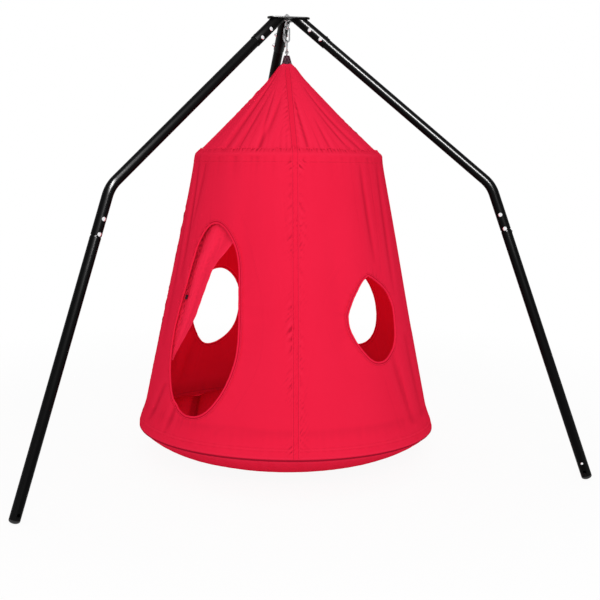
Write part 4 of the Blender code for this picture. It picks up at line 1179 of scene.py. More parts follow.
    def lap_face(self, azimuth: float, share: float) -> tuple[float, float]:
        """Return (radius, height) of the wall's lap over the roof, from its sewn edge to the top hoop."""
        reach = self.lap + 0.0080 * ring_noise(azimuth, 20.0, 0.0, 12.0)
        radius, height = self.roof_face(azimuth, 1 - reach * (1 - share) / self.roof_slant)
        bead = fading(share * reach, 0.006) * abs(ring_noise(azimuth, 46.0, 0.0, 8.0))
        tuck = 0.0034 * sin(pi * share) ** 0.6 * abs(ring_noise(azimuth, 36.0, share, 15.0))
        lift = self.ply + self.ply_gap + 0.0095 * bead + tuck + self.shoulder * sin(pi / 2 * share) ** 1.2
        return radius + lift * cos(self.roof_normal), height + lift * sin(self.roof_normal)

    @lru_cache(maxsize=None)
    def _cached_roof(self, azimuth: float) -> Section:
        """Return the roof's section, kept for reuse."""
        rows = self.roof_rows
        return tuple(self.roof_face(azimuth, 1 - (1 - row / rows) ** 1.2) for row in range(rows + 1))

    def roof_section(self, azimuth: float) -> Section:
        """Return (radius, height) down the roof, from its tip to where the wall laps over it."""
        return self._cached_roof(round(azimuth, 9))

    def quarter_cloth(
        self, section: Callable[[float], Section], quarter: int, columns: int, size: tuple[float, float]
    ) -> Mesh:
        """Return one quarter's cloth, a hair short of the seam on each side.

        Args:
            section: Gives (radius, height) down the cloth at an azimuth.
            quarter: The quarter, counted from the front seam.
            columns: Faces across.
            size: The cloth's width and length.

        Returns:
            The cloth as a closed shell.
        """
        rows = len(section(0.0)) - 1

        def place(across: float, up: float) -> Vector:
            """Return the cloth's point at a share across and up."""
            azimuth = (quarter + across) * pi / 2
            radius, height = section(azimuth)[round((1 - up) * rows)]
            return polar(radius, azimuth + self.clearance / 2 / radius * (1 - 2 * across), height)

        return thickened(surface(columns, rows, place, size), self.ply)

    def belly_point(self, radius: float) -> float:
        """Return the height of the floor cloth's underside."""
        start = self.base_hoop_radius + self.base_wrap * cos(self.wrap)
        top = self.base_z - self.base_wrap * sin(self.wrap)
        share = (radius / start) ** self.belly_power
        return self.base_z - self.belly + (top - self.base_z + self.belly) * share

    def on_wall(self, azimuth: float, height: float, out: float = 0.0) -> Vector:
        """Return a point on the wall's outer face, or a distance out from it."""
        return polar(self.wall_radius(azimuth, height) + out, azimuth, height)

    def rim_frames(self, opening: Opening, count: int, grow: float) -> Frames:
        """Return (point, away from the hole, out of the wall) along an opening's outline, grown a little."""
        points = []
        for side, lift in opening.outline(count, grow):
            height, azimuth = self.base_z + opening.rise + lift, opening.turn
            for _ in range(6):
                azimuth = opening.turn + asin(side / self.wall_radius(azimuth, height))
            points.append((self.on_wall(azimuth, height), azimuth))
        frames = []
        for index, (point, azimuth) in enumerate(points):
            tangent = points[(index + 1) % count][0] - points[index - 1][0]
            out = (polar(1, azimuth, 0) + UP * self.slope).normalized()
            frames.append((point, tangent.cross(out).normalized(), out))
        return frames


@dataclass
class Stitching:
    """Rows of stitches, gathered as lines and closed rings and sewn in one go."""

    tree: GeometryTree
    spacing: float = 0.0052
    reach: float = 0.0040
    thread: float = 0.00055

    def __post_init__(self) -> None:
        """Start with no rows."""
        self.lines: list[Sequence[Vector]] = []
        self.rings: list[Sequence[Vector]] = []

    def sew(self, coat: Coat) -> Mesh:
        """Return every row's stitches as one mesh."""
        source = joined([line_mesh(self.lines), line_mesh(self.rings, closed=True)])
        sizes = {"Spacing": self.spacing, "Stitch_Length": self.reach, "Thread_Radius": self.thread}
        return self.tree.run(coat, source, **sizes)


@dataclass
class TentPart:
    """What every part of the tent is made from."""

    form: TentForm
    finishes: Finishes
    stitching: Stitching

    def hung(
        self, name: str, mesh: Mesh, coat: Coat, nodes: Sequence[str] = (), angle: float = 35.0
    ) -> Object:
        """Dress a piece that hangs with the tent's cloth."""
        return dress(name, mesh, coat, Body.TENT, nodes, self.form.hang, angle)


@dataclass
class WallPanels(TentPart):
    """The four panels of the wall, each with its door or window cut out."""

    columns: int = 176
    rim: float = 0.003
    bore: float = 0.16
    turning: float = 0.03

    def cutter(self, quarter: Quarter) -> Mesh:
        """Return the prism that cuts a panel's opening, square to the wall at its azimuth."""
        opening = OPENINGS[quarter]
        middle = self.form.base_z + opening.rise
        out, across = polar(1, opening.turn, 0), polar(1, opening.turn + pi / 2, 0)
        centre = self.form.on_wall(opening.turn, middle)
        outline = [centre + across * x + UP * y for x, y in opening.outline(96, self.rim)]
        return prism(*([point + out * depth for point in outline] for depth in (-self.bore, self.bore)))

    def build(self) -> None:
        """Build the four panels."""
        form = self.form
        width, slant = pi / 4 * (form.base_radius + form.roof_radius), form.wall_height * hypot(1, form.slope)
        for quarter in Quarter:
            name = f"wall_panel_{quarter.label}"
            size = (width, form.wall_height)
            cloth = form.quarter_cloth(form.wall_section, quarter.value, self.columns, size)
            panel = combined(cloth, self.cutter(quarter))
            piece = self.hung(f"{name}_cloth", panel, self.finishes.cloth, [name])


@dataclass
class Bindings(TentPart):
    """The bindings round the door and the windows: a rolled rim and a flat band on both faces."""

    band: float = 0.013
    roll: float = 0.0036
    tape: float = 0.0012
    gather: float = 0.017

    def profile(self, share: float, girth: float) -> Profile:
        """Return the binding's profile: away from the hole, and out of the wall."""
        middle, sunk, band, roll = -self.form.ply / 2, 0.0003, self.band, self.roll
        puffed = self.tape + 0.0005 * (1 + sin(TURN * round(girth / self.gather) * share))
        points = [(band, 0.0001), (band, self.tape), (band * 0.80, puffed), (band * 0.52, puffed)]
        points += [(band * 0.50, sunk), (roll * 1.1, sunk)]
        mirrored = [(away, 2 * middle - out) for away, out in reversed(points)]
        for step in range(11):
            angle = radians(52 + 25.6 * step)
            points.append((roll * cos(angle), middle + roll * sin(angle)))
        return points + mirrored + [(roll * 0.5, middle * 2 - 0.0001), (roll * 0.5, 0.0001)]

    def build(self) -> None:
        """Build the four bindings and their two rows of stitches."""
        for quarter in Quarter:
            count = 260 if quarter is Quarter.DOOR else 180
            frames = self.form.rim_frames(OPENINGS[quarter], count, self.roll)
            girth = sum((frames[k][0] - frames[k - 1][0]).length for k in range(count))
            solid = swept(frames, lambda share, girth=girth: self.profile(share, girth), closed=True)
            hem = f"hem_{quarter.label}"
            self.hung(f"{hem}_binding", solid, self.finishes.rim, [hem], 60)
            for away in (self.band * 0.88, self.band * 0.62):
                row = [point + across * away + out * (self.tape + 0.0005) for point, across, out in frames]
                self.stitching.rings.append(row)


@dataclass
class Roof(TentPart):
    """The four creased gores of the roof."""

    columns: int = 190

    def build(self) -> None:
        """Build the gores."""
        form = self.form
        size = (pi / 2 * form.roof_radius, form.roof_slant)
        for quarter, side in GORES.items():
            name = f"roof_gore_{side}"
            cloth = form.quarter_cloth(form.roof_section, quarter, self.columns, size)
            # The roof's finish is a lighter copy of the cloth: painted light.
            piece = self.hung(f"{name}_cloth", cloth, self.finishes.roof, [name])


@dataclass
class SeamTapes(TentPart):
    """The tape over each seam, from under the crown's collar to the base hoop, and the seams' stitches."""

    width: float = 0.026
    thickness: float = 0.0007
    stand_off: float = 0.0005
    start: float = 0.010
    columns: int = 8
    spread: float = 0.45

    def line(self, azimuth: float) -> Section:
        """Return (radius, height) down the outside of the roof, the lap and the wall."""
        form = self.form
        wall, start = form.wall_section(azimuth), form.tip_z - self.start
        roof = [point for point in form.roof_section(azimuth) if wall[0][1] + 0.002 < point[1] < start]
        return (*roof, *(point for point in wall if point[1] > form.base_z - 0.004))

    def point(self, middle: float, share: float, line: Section, row: int, rows: int) -> Vector:
        """Return a point of a tape.

        Args:
            middle: The seam's azimuth.
            share: The point's place across the tape.
            line: The (radius, height) line that it lies over.
            row: The point's place down that line.
            rows: The tape's last row.

        Returns:
            The point, a little off the cloth.
        """
        radius, height = line[row]
        above, below = line[max(row - 2, 0)], line[min(row + 2, rows)]
        along = Vector((below[0] - above[0], below[1] - above[1])).normalized()
        side = (share - 0.5) * self.width * min(1.0, 0.35 + radius / 0.09)
        arc = asin(min(1.0, abs(side) / radius))
        run = (radius - along.y * self.stand_off) * cos(arc)
        seat = polar(run, middle, height + along.x * self.stand_off)
        return seat + polar(side, middle + pi / 2, 0)

    def build(self) -> None:
        """Build the four tapes and sew their edges."""
        form = self.form
        for number, name in enumerate(SEAMS):
            middle = number * pi / 2
            lines = [self.line(middle + (k / self.columns - 0.5) * self.width / self.spread)
                     for k in range(self.columns + 1)]
            rows = min(len(line) for line in lines) - 1

            def place(across: float, up: float, middle: float = middle, lines: list = lines) -> Vector:
                """Return the tape's point at a share across and up."""
                column = round(across * self.columns)
                return self.point(middle, column / self.columns, lines[column], round((1 - up) * rows), rows)

            tape = surface(self.columns, rows, place, (self.width, form.wall_height + form.roof_height * 1.4))
            solid = thickened(tape, self.thickness, 1)
            piece = self.hung(f"seam_tape_{name}_strip", solid, self.finishes.tape, [f"seam_tape_{name}"])
            proud = polar(1, middle, 0.35).normalized() * (self.thickness + 0.0003)
            for across in (1 / self.columns, 1 - 1 / self.columns):
                self.stitching.lines.append([place(across, 1 - k / rows) + proud for k in range(rows + 1)])


@dataclass
class Hoops(TentPart):
    """The two rods that spread the tent, the floor's cloth and the binding over its seam."""

    steps: int = 224
    rows_apart: float = 0.0022
    binding_width: float = 0.009

    def build(self) -> None:
        """Build the hoops, the bellied floor, the base binding and the hems' rows of stitches."""
        form, tree = self.form, hoop_tree()
        for name, radius, rod, height in (
            ("top_hoop", form.top_hoop_radius, form.top_rod, form.top_hoop_z),
            ("base_hoop", form.base_hoop_radius, form.base_rod, form.base_z),
        ):
            solid = tree.run(self.finishes.rod, Hoop_Radius=radius, Rod_Radius=rod, Height=height)
            self.hung(f"{name}_rod", tidied(solid), self.finishes.rod, [name])
            self.sleeve(name, radius, rod, height)
        self.floor()
        self.binding()
        for height in (form.roof_z - form.hem_row, form.base_z + form.hem_row):
            for lift in (-self.rows_apart, self.rows_apart):
                turns = [TURN * k / 720 for k in range(720)]
                self.stitching.rings.append([form.on_wall(turn, height + lift, 0.0002) for turn in turns])

    def sleeve(self, name: str, radius: float, rod: float, height: float) -> None:
        """Build the cloth sleeve that hides a hoop, of a radius, rod and height, from inside the tent."""
        ring = []
        for reach, turns in ((rod + 0.0011, range(15)), (rod + 0.0003, range(14, -1, -1))):
            for step in turns:
                angle = radians(62 + 226 * step / 14)
                ring.append((radius + reach * cos(angle), height + reach * sin(angle)))
        self.hung(f"{name}_sleeve", turned(ring, self.steps, closed=True), self.finishes.cloth)

    def floor(self) -> None:
        """Build the floor's cloth, which hangs in a belly and wrinkles towards its seam."""
        form = self.form
        start = form.base_hoop_radius + form.base_wrap * cos(form.wrap) - form.clearance * 2

        def place(across: float, up: float) -> Vector:
            """Return the floor's point; across runs round it, and up runs out from its middle."""
            azimuth, radius = TURN * across, start * max(up, 0.0005) ** 0.8
            edge = fading(start - radius, 0.06) * smooth_step((start - radius) / 0.006)
            wrinkle = 0.0022 * edge * ring_noise(azimuth, 24.0, 0.0, 2.0)
            broad = 0.0030 * sin(pi * radius / start) * ring_noise(azimuth, 3.0, radius * 4, 6.0)
            return polar(radius, -azimuth, form.belly_point(radius) + wrinkle + max(broad, 0.0))

        cloth = tidied(surface(self.steps, 60, place, (TURN * start, start)), 0.0003)
        solid = tidied(thickened(cloth, form.ply, 0.0), 0.00001)
        piece = self.hung("floor_cloth_belly", solid, self.finishes.cloth, ["floor_cloth"])

    def binding(self) -> None:
        """Build the binding that covers the seam of wall and floor under the base hoop; its finish is darkened
        as painted shade.
        """
        form, inner = self.form, self.form.base_wrap + self.form.clearance
        ring = []
        for reach, ends in ((inner + form.ply, (-1, 0, 1)), (inner, (1, 0, -1))):
            for side in ends:
                angle = -form.wrap - side * self.binding_width / 2 / reach
                ring.append((form.base_hoop_radius + reach * cos(angle), form.base_z + reach * sin(angle)))
        solid = turned(ring, self.steps, closed=True)
        # Its finish is darkened as painted shade along the underside of the hoop.
        self.hung("base_binding_tape", solid, self.finishes.edging, ["base_binding"])


@dataclass
class Cushion(TentPart):
    """The inflated floor cushion, whose welded channels part it into tubes, and its valve."""

    radius: float = 0.556
    tubes: int = 6
    crown: float = 0.045
    edge: float = 0.060
    channel: float = 0.022
    lay: float = 0.0022
    sunk: float = 0.010
    columns: int = 96
    ring: int = 88
    pressure: float = 3.0
    stiffness: float = 25
    frames: int = 14
    swell: float = 0.014
    squareness: tuple[float, float] = (0.75, 0.55)
    end_taper: float = 0.12
    weld_share: float = 0.985
    seam_rise: float = 0.004

    @property
    def middle(self) -> float:
        """The height of the cushion's outer seam."""
        return self.form.belly_point(self.radius) + self.lay + self.edge * 0.5

    def valley(self, x: float) -> float:
        """Return 1 on a welded channel, down to 0 on a tube's crest."""
        return abs(cos(pi * self.tubes / 2 * (x / self.radius + 1)))

    def top(self, x: float, y: float) -> float:
        """Return the height of the cushion's top before it is blown up."""
        base = self.form.belly_point(self.radius) + self.lay + self.edge
        groove = self.channel * (1 - sqrt(max(0.0, 1 - self.valley(x) ** 6)))
        return base + self.crown * (1 - (hypot(x, y) / self.radius) ** 2) - groove

    def body(self) -> Mesh:
        """Return the closed form: slices across, each a rounded loop over and under."""
        cage = bmesh.new()
        layer = cage.loops.layers.uv.new(UV_NAME)
        middle = self.middle
        loops = []
        for column in range(1, self.columns):
            x = self.radius * sin(pi / 2 * (2 * column / self.columns - 1))
            half = sqrt(self.radius**2 - x**2)
            loops.append([])
            for step in range(self.ring):
                wide, tall = cos(TURN * step / self.ring), sin(TURN * step / self.ring)
                y = half * copysign(abs(wide) ** self.squareness[0], wide)
                under = self.form.belly_point(min(hypot(x, y), self.radius)) + self.lay
                limit = self.top(x, y) if tall > 0 else under
                bulge = (limit - middle) * abs(tall) ** self.squareness[1]
                lift = bulge * min(1, half / self.end_taper) ** 0.5
                loops[-1].append(cage.verts.new((x, y, middle + lift)))
        for face in bridged(cage, loops):
            for corner in face.loops:
                corner[layer].uv = corner.vert.co.xy
        for loop, x in ((loops[0], -self.radius), (loops[-1], self.radius)):
            pole = cage.verts.new((x, 0, middle))
            for k in range(self.ring):
                cage.faces.new((loop[k], loop[(k + 1) % self.ring], pole))
        return outward(cage)

    def blown_up(self, mesh: Mesh) -> Mesh:
        """Return the form after air pressure has filled its tubes; its welds and underside are held."""
        item = link_object("cushion_body", mesh)
        low = self.middle + self.seam_rise
        held = [p.index for p in mesh.vertices if p.co.z < low or self.valley(p.co.x) > self.weld_share]
        item.vertex_groups.new(name="welds").add(held, 1.0, "REPLACE")
        cloth = item.modifiers.new("cloth", "CLOTH")
        settings = cloth.settings
        settings.quality = 5
        settings.vertex_group_mass = "welds"
        settings.tension_stiffness = settings.compression_stiffness = self.stiffness
        settings.bending_stiffness = 0.4
        settings.use_pressure = True
        settings.uniform_pressure_force = self.pressure
        settings.effector_weights.gravity = 0.0
        cloth.point_cache.frame_end = self.frames
        for step in range(1, self.frames + 1):
            bpy.context.scene.frame_set(step)
        before = [point.co.copy() for point in mesh.vertices]
        after = settled(item)
        for point, start in zip(after.vertices, before):
            move = point.co - start
            if move.length > self.swell:
                point.co = start + move * (self.swell / move.length)
        bpy.context.scene.frame_set(1)
        return after

    def build(self) -> None:
        """Build the cushion, and its valve's cap over the port."""
        mesh = self.body()
        mesh = self.blown_up(mesh)
        piece = self.hung("floor_cushion_skin", mesh, self.finishes.skin, ["floor_cushion"])
        low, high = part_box("air_valve")
        centre, radius, top = (low + high) / 2, (high.x - low.x) / 2, high.z
        profile = [(0, top), (radius * 0.62, top), (radius * 0.7, top - 0.0008), (radius * 0.72, top - 0.005)]
        profile += [(radius, top - 0.006), (radius, top - 0.0078), (radius * 0.6, top - 0.0085)]
        profile += [(radius * 0.58, low.z), (0, low.z)]
        dip = self.form.rise(self.form.place.inverted() @ centre) - self.sunk
        place = Matrix.Translation((centre.x, centre.y, dip))
        dress("air_valve_cap", turned(profile, 40), self.finishes.valve, Body.TENT, ["air_valve"], place)


@dataclass
class DoorFlap(TentPart):
    """The door's flap, tied back inside the door's left edge, with its toggle."""

    turn: float = radians(-62.8)
    seat: float = 0.0028
    bottom_rise: float = 0.288
    height: float = 0.549
    edge: Profile = ((0, 2.6), (0.283, 13.2), (0.493, 17.2), (0.656, 20.6), (0.79, 29.5), (1, 39))
    stand_off: float = 0.016
    fold_depth: float = 0.010
    pucker_depth: float = 0.0085
    slack_depth: float = 0.0022
    frill_depth: float = 0.0008
    frill_pitch: float = 0.045
    wall_reach: float = 0.43
    columns: int = 96
    rows: int = 150
    tie_rise: float = 0.524
    tie_turn: float = radians(5.3)
    toggle_radius: float = 0.0046
    toggle_half: float = 0.0088
    tie_radius: float = 0.0031
    tie_cord: float = 0.0009

    def reach(self, up: float) -> float:
        """Return the angle from the flap's sewn edge to its free edge, which hollows below its corner."""
        total = 0.0
        for shift in (-0.05, -0.025, 0.0, 0.025, 0.05):
            place = clamp(up + shift)
            for (low, start), (high, end) in zip(self.edge, self.edge[1:]):
                if low <= place <= high:
                    total += start + (end - start) * (place - low) / (high - low)
                    break
        return radians(total / 5)

    def point(self, across: float, up: float) -> Vector:
        """Return a point of the flap's outer face; across runs from its sewn edge to its free edge."""
        form, swing = self.form, self.reach(up) * across
        height = form.base_z + self.bottom_rise + self.height * up
        fold = self.fold_depth * (1 - cos(4 * pi * across)) / 2 * up
        pucker = self.pucker_depth * fading(across, 0.22) * noise_at(across * 11, height * 48, 7.0)
        slack = self.slack_depth * noise_at(across * 5, up * 4, 3.0) * min(1.0, across * 6)
        frill = self.frill_depth * fading(1 - across, 0.03) * sin(TURN * height / self.frill_pitch)
        inward = self.stand_off * (swing / self.reach(1)) ** 0.6 + fold + abs(pucker) + abs(slack) + frill
        smooth_wall = form.roof_radius + form.slope * (form.roof_z - height)
        return polar(smooth_wall - form.cloth - self.seat - inward, self.turn + swing, height)

    def build(self) -> None:
        """Build the flap, its two stitched edges and its tie."""
        form, finishes = self.form, self.finishes
        cloth = thickened(surface(self.columns, self.rows, self.point, (0.28, self.height)), form.ply)
        # The flap's finish is a lighter copy of the cloth: painted light against the door's shade.
        piece = dress("door_flap_cloth", cloth, finishes.flap, Body.FLAP, ["door_flap"], form.hang)
        mean = sum(self.reach(step / 20) for step in range(21)) / 21 * self.wall_reach
        stitching = Stitching(self.stitching.tree)
        proud = polar(0.0006, self.turn, 0)
        for across in (0.035, 0.955):
            stitching.lines.append([self.point(across, k / 90) + proud for k in range(1, 90)])
        sewn = stitching.sew(finishes.thread)
        dress("door_flap_stitches", sewn, finishes.thread, Body.FLAP, (), form.hang, 80)
        dress("flap_toggle_tie", self.tie(), finishes.webbing, Body.FLAP, ["flap_toggle"], form.hang)

    def tie(self) -> Mesh:
        """Return the toggle and the short loop of webbing that holds it."""
        up = (self.tie_rise - self.bottom_rise) / self.height
        across = self.tie_turn / self.reach(up)
        rise = (self.point(across, up + 0.05) - self.point(across, up - 0.05)).normalized()
        proud = (self.point(across + 0.05, up) - self.point(across - 0.05, up)).cross(rise).normalized()
        radius, half = self.toggle_radius, self.toggle_half
        upper = [(0, half), (radius * 0.7, half - 0.0004), (radius, half - 0.0018), (radius, 0.003)]
        toggle = turned(mirrored([*upper, (radius * 0.72, 0.0016)]), 28)
        centre = self.point(across, up) + proud * (radius + 0.0006)
        toggle.transform(laid_along(rise, centre))
        points = circle(centre, proud * self.tie_radius, rise.cross(proud) * self.tie_radius, 24)
        loop = swept(path_frames(points, rise, closed=True), round_profile(self.tie_cord, 10), closed=True)
        return joined([toggle, loop])


@dataclass
class Crown(TentPart):
    """The webbing that hangs the tent: a loop round the ring, sewn into a collar over the roof's tip."""

    ring_radius: float = 0.022
    ring_wire: float = 0.006
    loop_width: float = 0.013
    web: float = 0.002
    loop_length: float = 0.0415
    lap: float = 0.005
    collar_height: float = 0.034
    collar_top: float = 0.0105
    collar_web: float = 0.0018
    slant: float = 0.05
    crossings: int = 7
    ripple: float = 0.0007

    def loop(self) -> Mesh:
        """Return the strap, up one side, round the ring and down the other side."""
        tip_z, gap = self.form.tip_z, self.web * 0.75
        ring_z, bottom = tip_z + self.loop_length, tip_z - self.lap
        rise = self.ring_radius - sqrt(self.ring_radius**2 - (self.loop_width / 2) ** 2)
        reach = self.ring_wire / 2 + rise + self.form.clearance * 2 + self.web / 2
        neck = ring_z - reach
        start = asin(gap / reach)
        points = [Vector((-gap, 0, bottom + (neck - bottom) * k / 10)) for k in range(10)]
        for step in range(33):
            angle = -pi / 2 - start - (TURN - 2 * start) * step / 32
            points.append(Vector((reach * cos(angle), 0, ring_z + reach * sin(angle))))
        points += [Vector((gap, 0, neck - (neck - bottom) * k / 10)) for k in range(1, 11)]
        return swept(path_frames(points, Vector((0, 1, 0))), strap_profile(self.loop_width, self.web))

    def collar_radius(self, azimuth: float, down: float) -> float:
        """Return the collar's outer radius at a share of its height from its top."""
        neck = 1 - self.lap / self.collar_height
        tip = self.form.tip_radius + self.form.crest * 0.4 + 0.0006 + self.collar_web
        if down < neck:
            radius = self.collar_top + (tip - self.collar_top) * down / neck
        else:
            radius = tip + self.lap * (down - neck) / (1 - neck)
        return radius + self.ripple * cos(4 * azimuth) * (0.4 + down)

    def collar_point(self, across: float, up: float) -> Vector:
        """Return a point of the collar, whose lower edge hangs lower on the left; across runs round it."""
        azimuth = TURN * across
        down = (1 - up) * (1 - self.slant * sin(azimuth) * (1 - up))
        height = self.form.tip_z - self.lap + self.collar_height * (1 - down)
        return polar(self.collar_radius(azimuth, down), azimuth, height)

    def build(self) -> None:
        """Build the loop, the collar and the crossed stitches that hold it to the roof."""
        place, webbing, thread = self.form.place, self.finishes.webbing, self.finishes.webbing_thread
        dress("webbing_loop_strap", self.loop(), webbing, Body.TENT, ["webbing_loop"], place, 50)
        cloth = tidied(surface(96, 24, self.collar_point, (0.12, self.collar_height)), 0.00001)
        solid = thickened(cloth, self.collar_web * 0.8)
        piece = dress("crown_collar_webbing", solid, webbing, Body.TENT, ["crown_collar"], place)
        rows = Stitching(self.stitching.tree, 0.0026, 0.0024)
        for start in range(self.crossings):
            for way in (-1, 1):
                turns = [(start + step / 12) / self.crossings * way for step in range(13)]
                rows.lines.append([
                    self.collar_point(turn, 0.90 - 0.84 * step / 12) + polar(0.0003, TURN * turn, 0)
                    for step, turn in enumerate(turns)
                ])
        dress("crown_stitches", rows.sew(thread), thread, Body.TENT, (), place, 80)


def mirrored(profile: Profile) -> Profile:
    """Return a profile of (radius, height) with its mirror image below it."""
    return [*profile, *((radius, -height) for radius, height in reversed(profile))]


def laid_along(direction: Vector, centre: Vector) -> Matrix:
    """Return the matrix that lays a Z-long mesh along a direction."""
    return Matrix.Translation(centre) @ UP.rotation_difference(direction).to_matrix().to_4x4()


def hex_solid(flats: float, height: float, bore: float, chamfer: float = 0.12) -> Mesh:
    """Return a hexagon nut or sleeve about the origin, along Z.

    Args:
        flats: Its width across flats.
        height: Its height.
        bore: The radius of its bore.
        chamfer: The share of its height that the corners' chamfer takes at each end.

    Returns:
        The closed mesh.
    """
    corner = flats / sqrt(3)
    prism_of_six = cylinder(corner, height, Matrix.Identity(4), 6)
    lathe = [(0, height / 2), (flats / 2 * 0.97, height / 2), (corner * 1.02, height * (0.5 - chamfer))]
    solid = combined(prism_of_six, turned(mirrored(lathe)), "INTERSECT")
    return combined(solid, cylinder(bore, height * 2, Matrix.Identity(4)))


@dataclass
class HangingChain:
    """The eye bolt, the quick link with its screw sleeve, and the ring."""

    form: TentForm
    finishes: Finishes
    threads: GeometryTree
    ring_radius: float = 0.022
    weld_at: float = 0.8
    weld_swell: float = 0.10
    weld_width: float = 0.012
    wire: float = 0.006
    link_half_width: float = 0.00975
    mouth: float = 0.006
    mouth_rise: float = 0.013
    sleeve_length: float = 0.019
    sleeve_flats: float = 0.0105
    eye_radius: float = 0.0125
    eye_wire: float = 0.007
    eye_turn: float = radians(20)
    shank: float = 0.010
    nut_flats: float = 0.019
    washer_radius: float = 0.013
    hub_plate: float = 0.006
    clearance: float = 0.0003

    def build(self) -> None:
        """Build every piece from the ring up."""
        self.ring()
        self.link()
        self.eye_bolt()

    def hook(self, name: str, mesh: Mesh, body: Body, node: str, shift: Vector, angle: float = 35.0) -> None:
        """Dress a zinc-plated piece, moved by a shift."""
        place = self.form.place @ Matrix.Translation(shift)
        dress(name, mesh, self.finishes.zinc, body, [node], place, angle)

    def thread(self, radius: float, pitch: float, length: float, ridge: float, foot: Vector) -> Mesh:
        """Return a screw thread's ridge that stands on a foot."""
        wound = self.threads.run(self.finishes.zinc, Radius=radius, Pitch=pitch, Length=length, Ridge=ridge)
        wound.transform(Matrix.Translation(foot))
        return wound

    def ring(self) -> None:
        """Build the ring, with the small swell of its butt weld."""
        low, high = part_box("steel_ring")
        centre = Vector((0, 0, (low.z + high.z) / 2))
        points = circle(centre, UP * self.ring_radius, Vector((0, self.ring_radius, 0)), 120)

        def profile(share: float) -> Profile:
            """Return the wire's round section, a little thicker at the weld."""
            swell = 1 + self.weld_swell * bell(share - self.weld_at, self.weld_width)
            return round_profile(self.wire / 2 * swell, 20)

        solid = swept(path_frames(points, Vector((1, 0, 0)), closed=True), profile, closed=True)
        self.hook("steel_ring_wire", solid, Body.RING, "steel_ring", Vector())

    def link(self) -> None:
        """Build the quick link and the hexagon sleeve that closes its mouth."""
        low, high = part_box("quick_link")
        radius, half = self.wire / 2, self.link_half_width
        bottom, top = low.z + radius, high.z - radius
        mouth = bottom + self.mouth_rise
        points = [Vector((-half, 0, mouth + self.mouth))]
        for centre, start in ((top - half, pi), (bottom + half, 0.0)):
            for step in range(25):
                angle = start - pi * step / 24
                points.append(Vector((half * cos(angle), 0, centre + half * sin(angle))))
        points.append(Vector((-half, 0, mouth)))
        bar = swept(path_frames(points, Vector((0, 1, 0))), round_profile(radius, 24))
        thread = self.thread(radius, 0.001, 0.010, 0.00028, Vector((-half, 0, mouth + self.mouth + 0.0005)))
        self.hook("quick_link_bar", joined([bar, thread]), Body.LINK, "quick_link", Vector(), 40)
        sleeve = hex_solid(self.sleeve_flats, self.sleeve_length, radius + self.clearance, 0.05)
        at = Vector((-half, 0, mouth - 0.0015 + self.sleeve_length / 2))
        self.hook("quick_link_sleeve_nut", sleeve, Body.SLEEVE, "quick_link_sleeve", at, 30)

    def eye_bolt(self) -> None:
        """Build the eye bolt below the hub plate, and its washer and nut above it."""
        low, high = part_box("eye_bolt")
        plate_top, half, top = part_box("hub_bracket")[1].z, self.shank / 2, high.z
        eye_z = low.z + self.eye_wire / 2 + self.eye_radius
        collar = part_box("eye_washer")[0].z - self.hub_plate - 2 * self.clearance
        lathe = [(0, top), (half * 0.8, top), (half, top - 0.001), (half, collar), (0.010, collar)]
        lathe += [(0.010, collar - 0.0018), (0.009, collar - 0.0026), (half, collar - 0.004)]
        lathe += [(half * 0.62, eye_z + self.eye_radius), (0, eye_z + self.eye_radius)]
        points = circle(UP * eye_z, UP * self.eye_radius, Vector((0, self.eye_radius, 0)), 96)
        frames = path_frames(points, Vector((1, 0, 0)), closed=True)
        eye = swept(frames, round_profile(self.eye_wire / 2, 20), closed=True)
        eye.transform(Matrix.Rotation(self.eye_turn, 4, "Z"))
        length = top - plate_top - 0.001
        thread = self.thread(half - 0.0001, 0.0014, length, 0.0003, UP * (plate_top + 0.0005))
        solid = joined([combined(turned(lathe, 40), eye, "UNION"), thread])
        self.hook("eye_bolt_forging", solid, Body.STAND, "eye_bolt", Vector())
        bore, rim = half + self.clearance, self.washer_radius
        for node in ("eye_washer", "eye_nut"):
            bottom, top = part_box(node)
            tall = (top.z - bottom.z) / 2
            if node == "eye_nut":
                solid = hex_solid(self.nut_flats, tall * 2, bore)
            else:
                lathe = [(rim - 0.0004, tall), (rim, tall - 0.0004), (rim, -tall)]
                solid = turned([*lathe, (bore, -tall), (bore, tall)], closed=True)
            self.hook(f"{node}_plated", solid, Body.STAND, node, UP * ((top.z + bottom.z) / 2), 30)


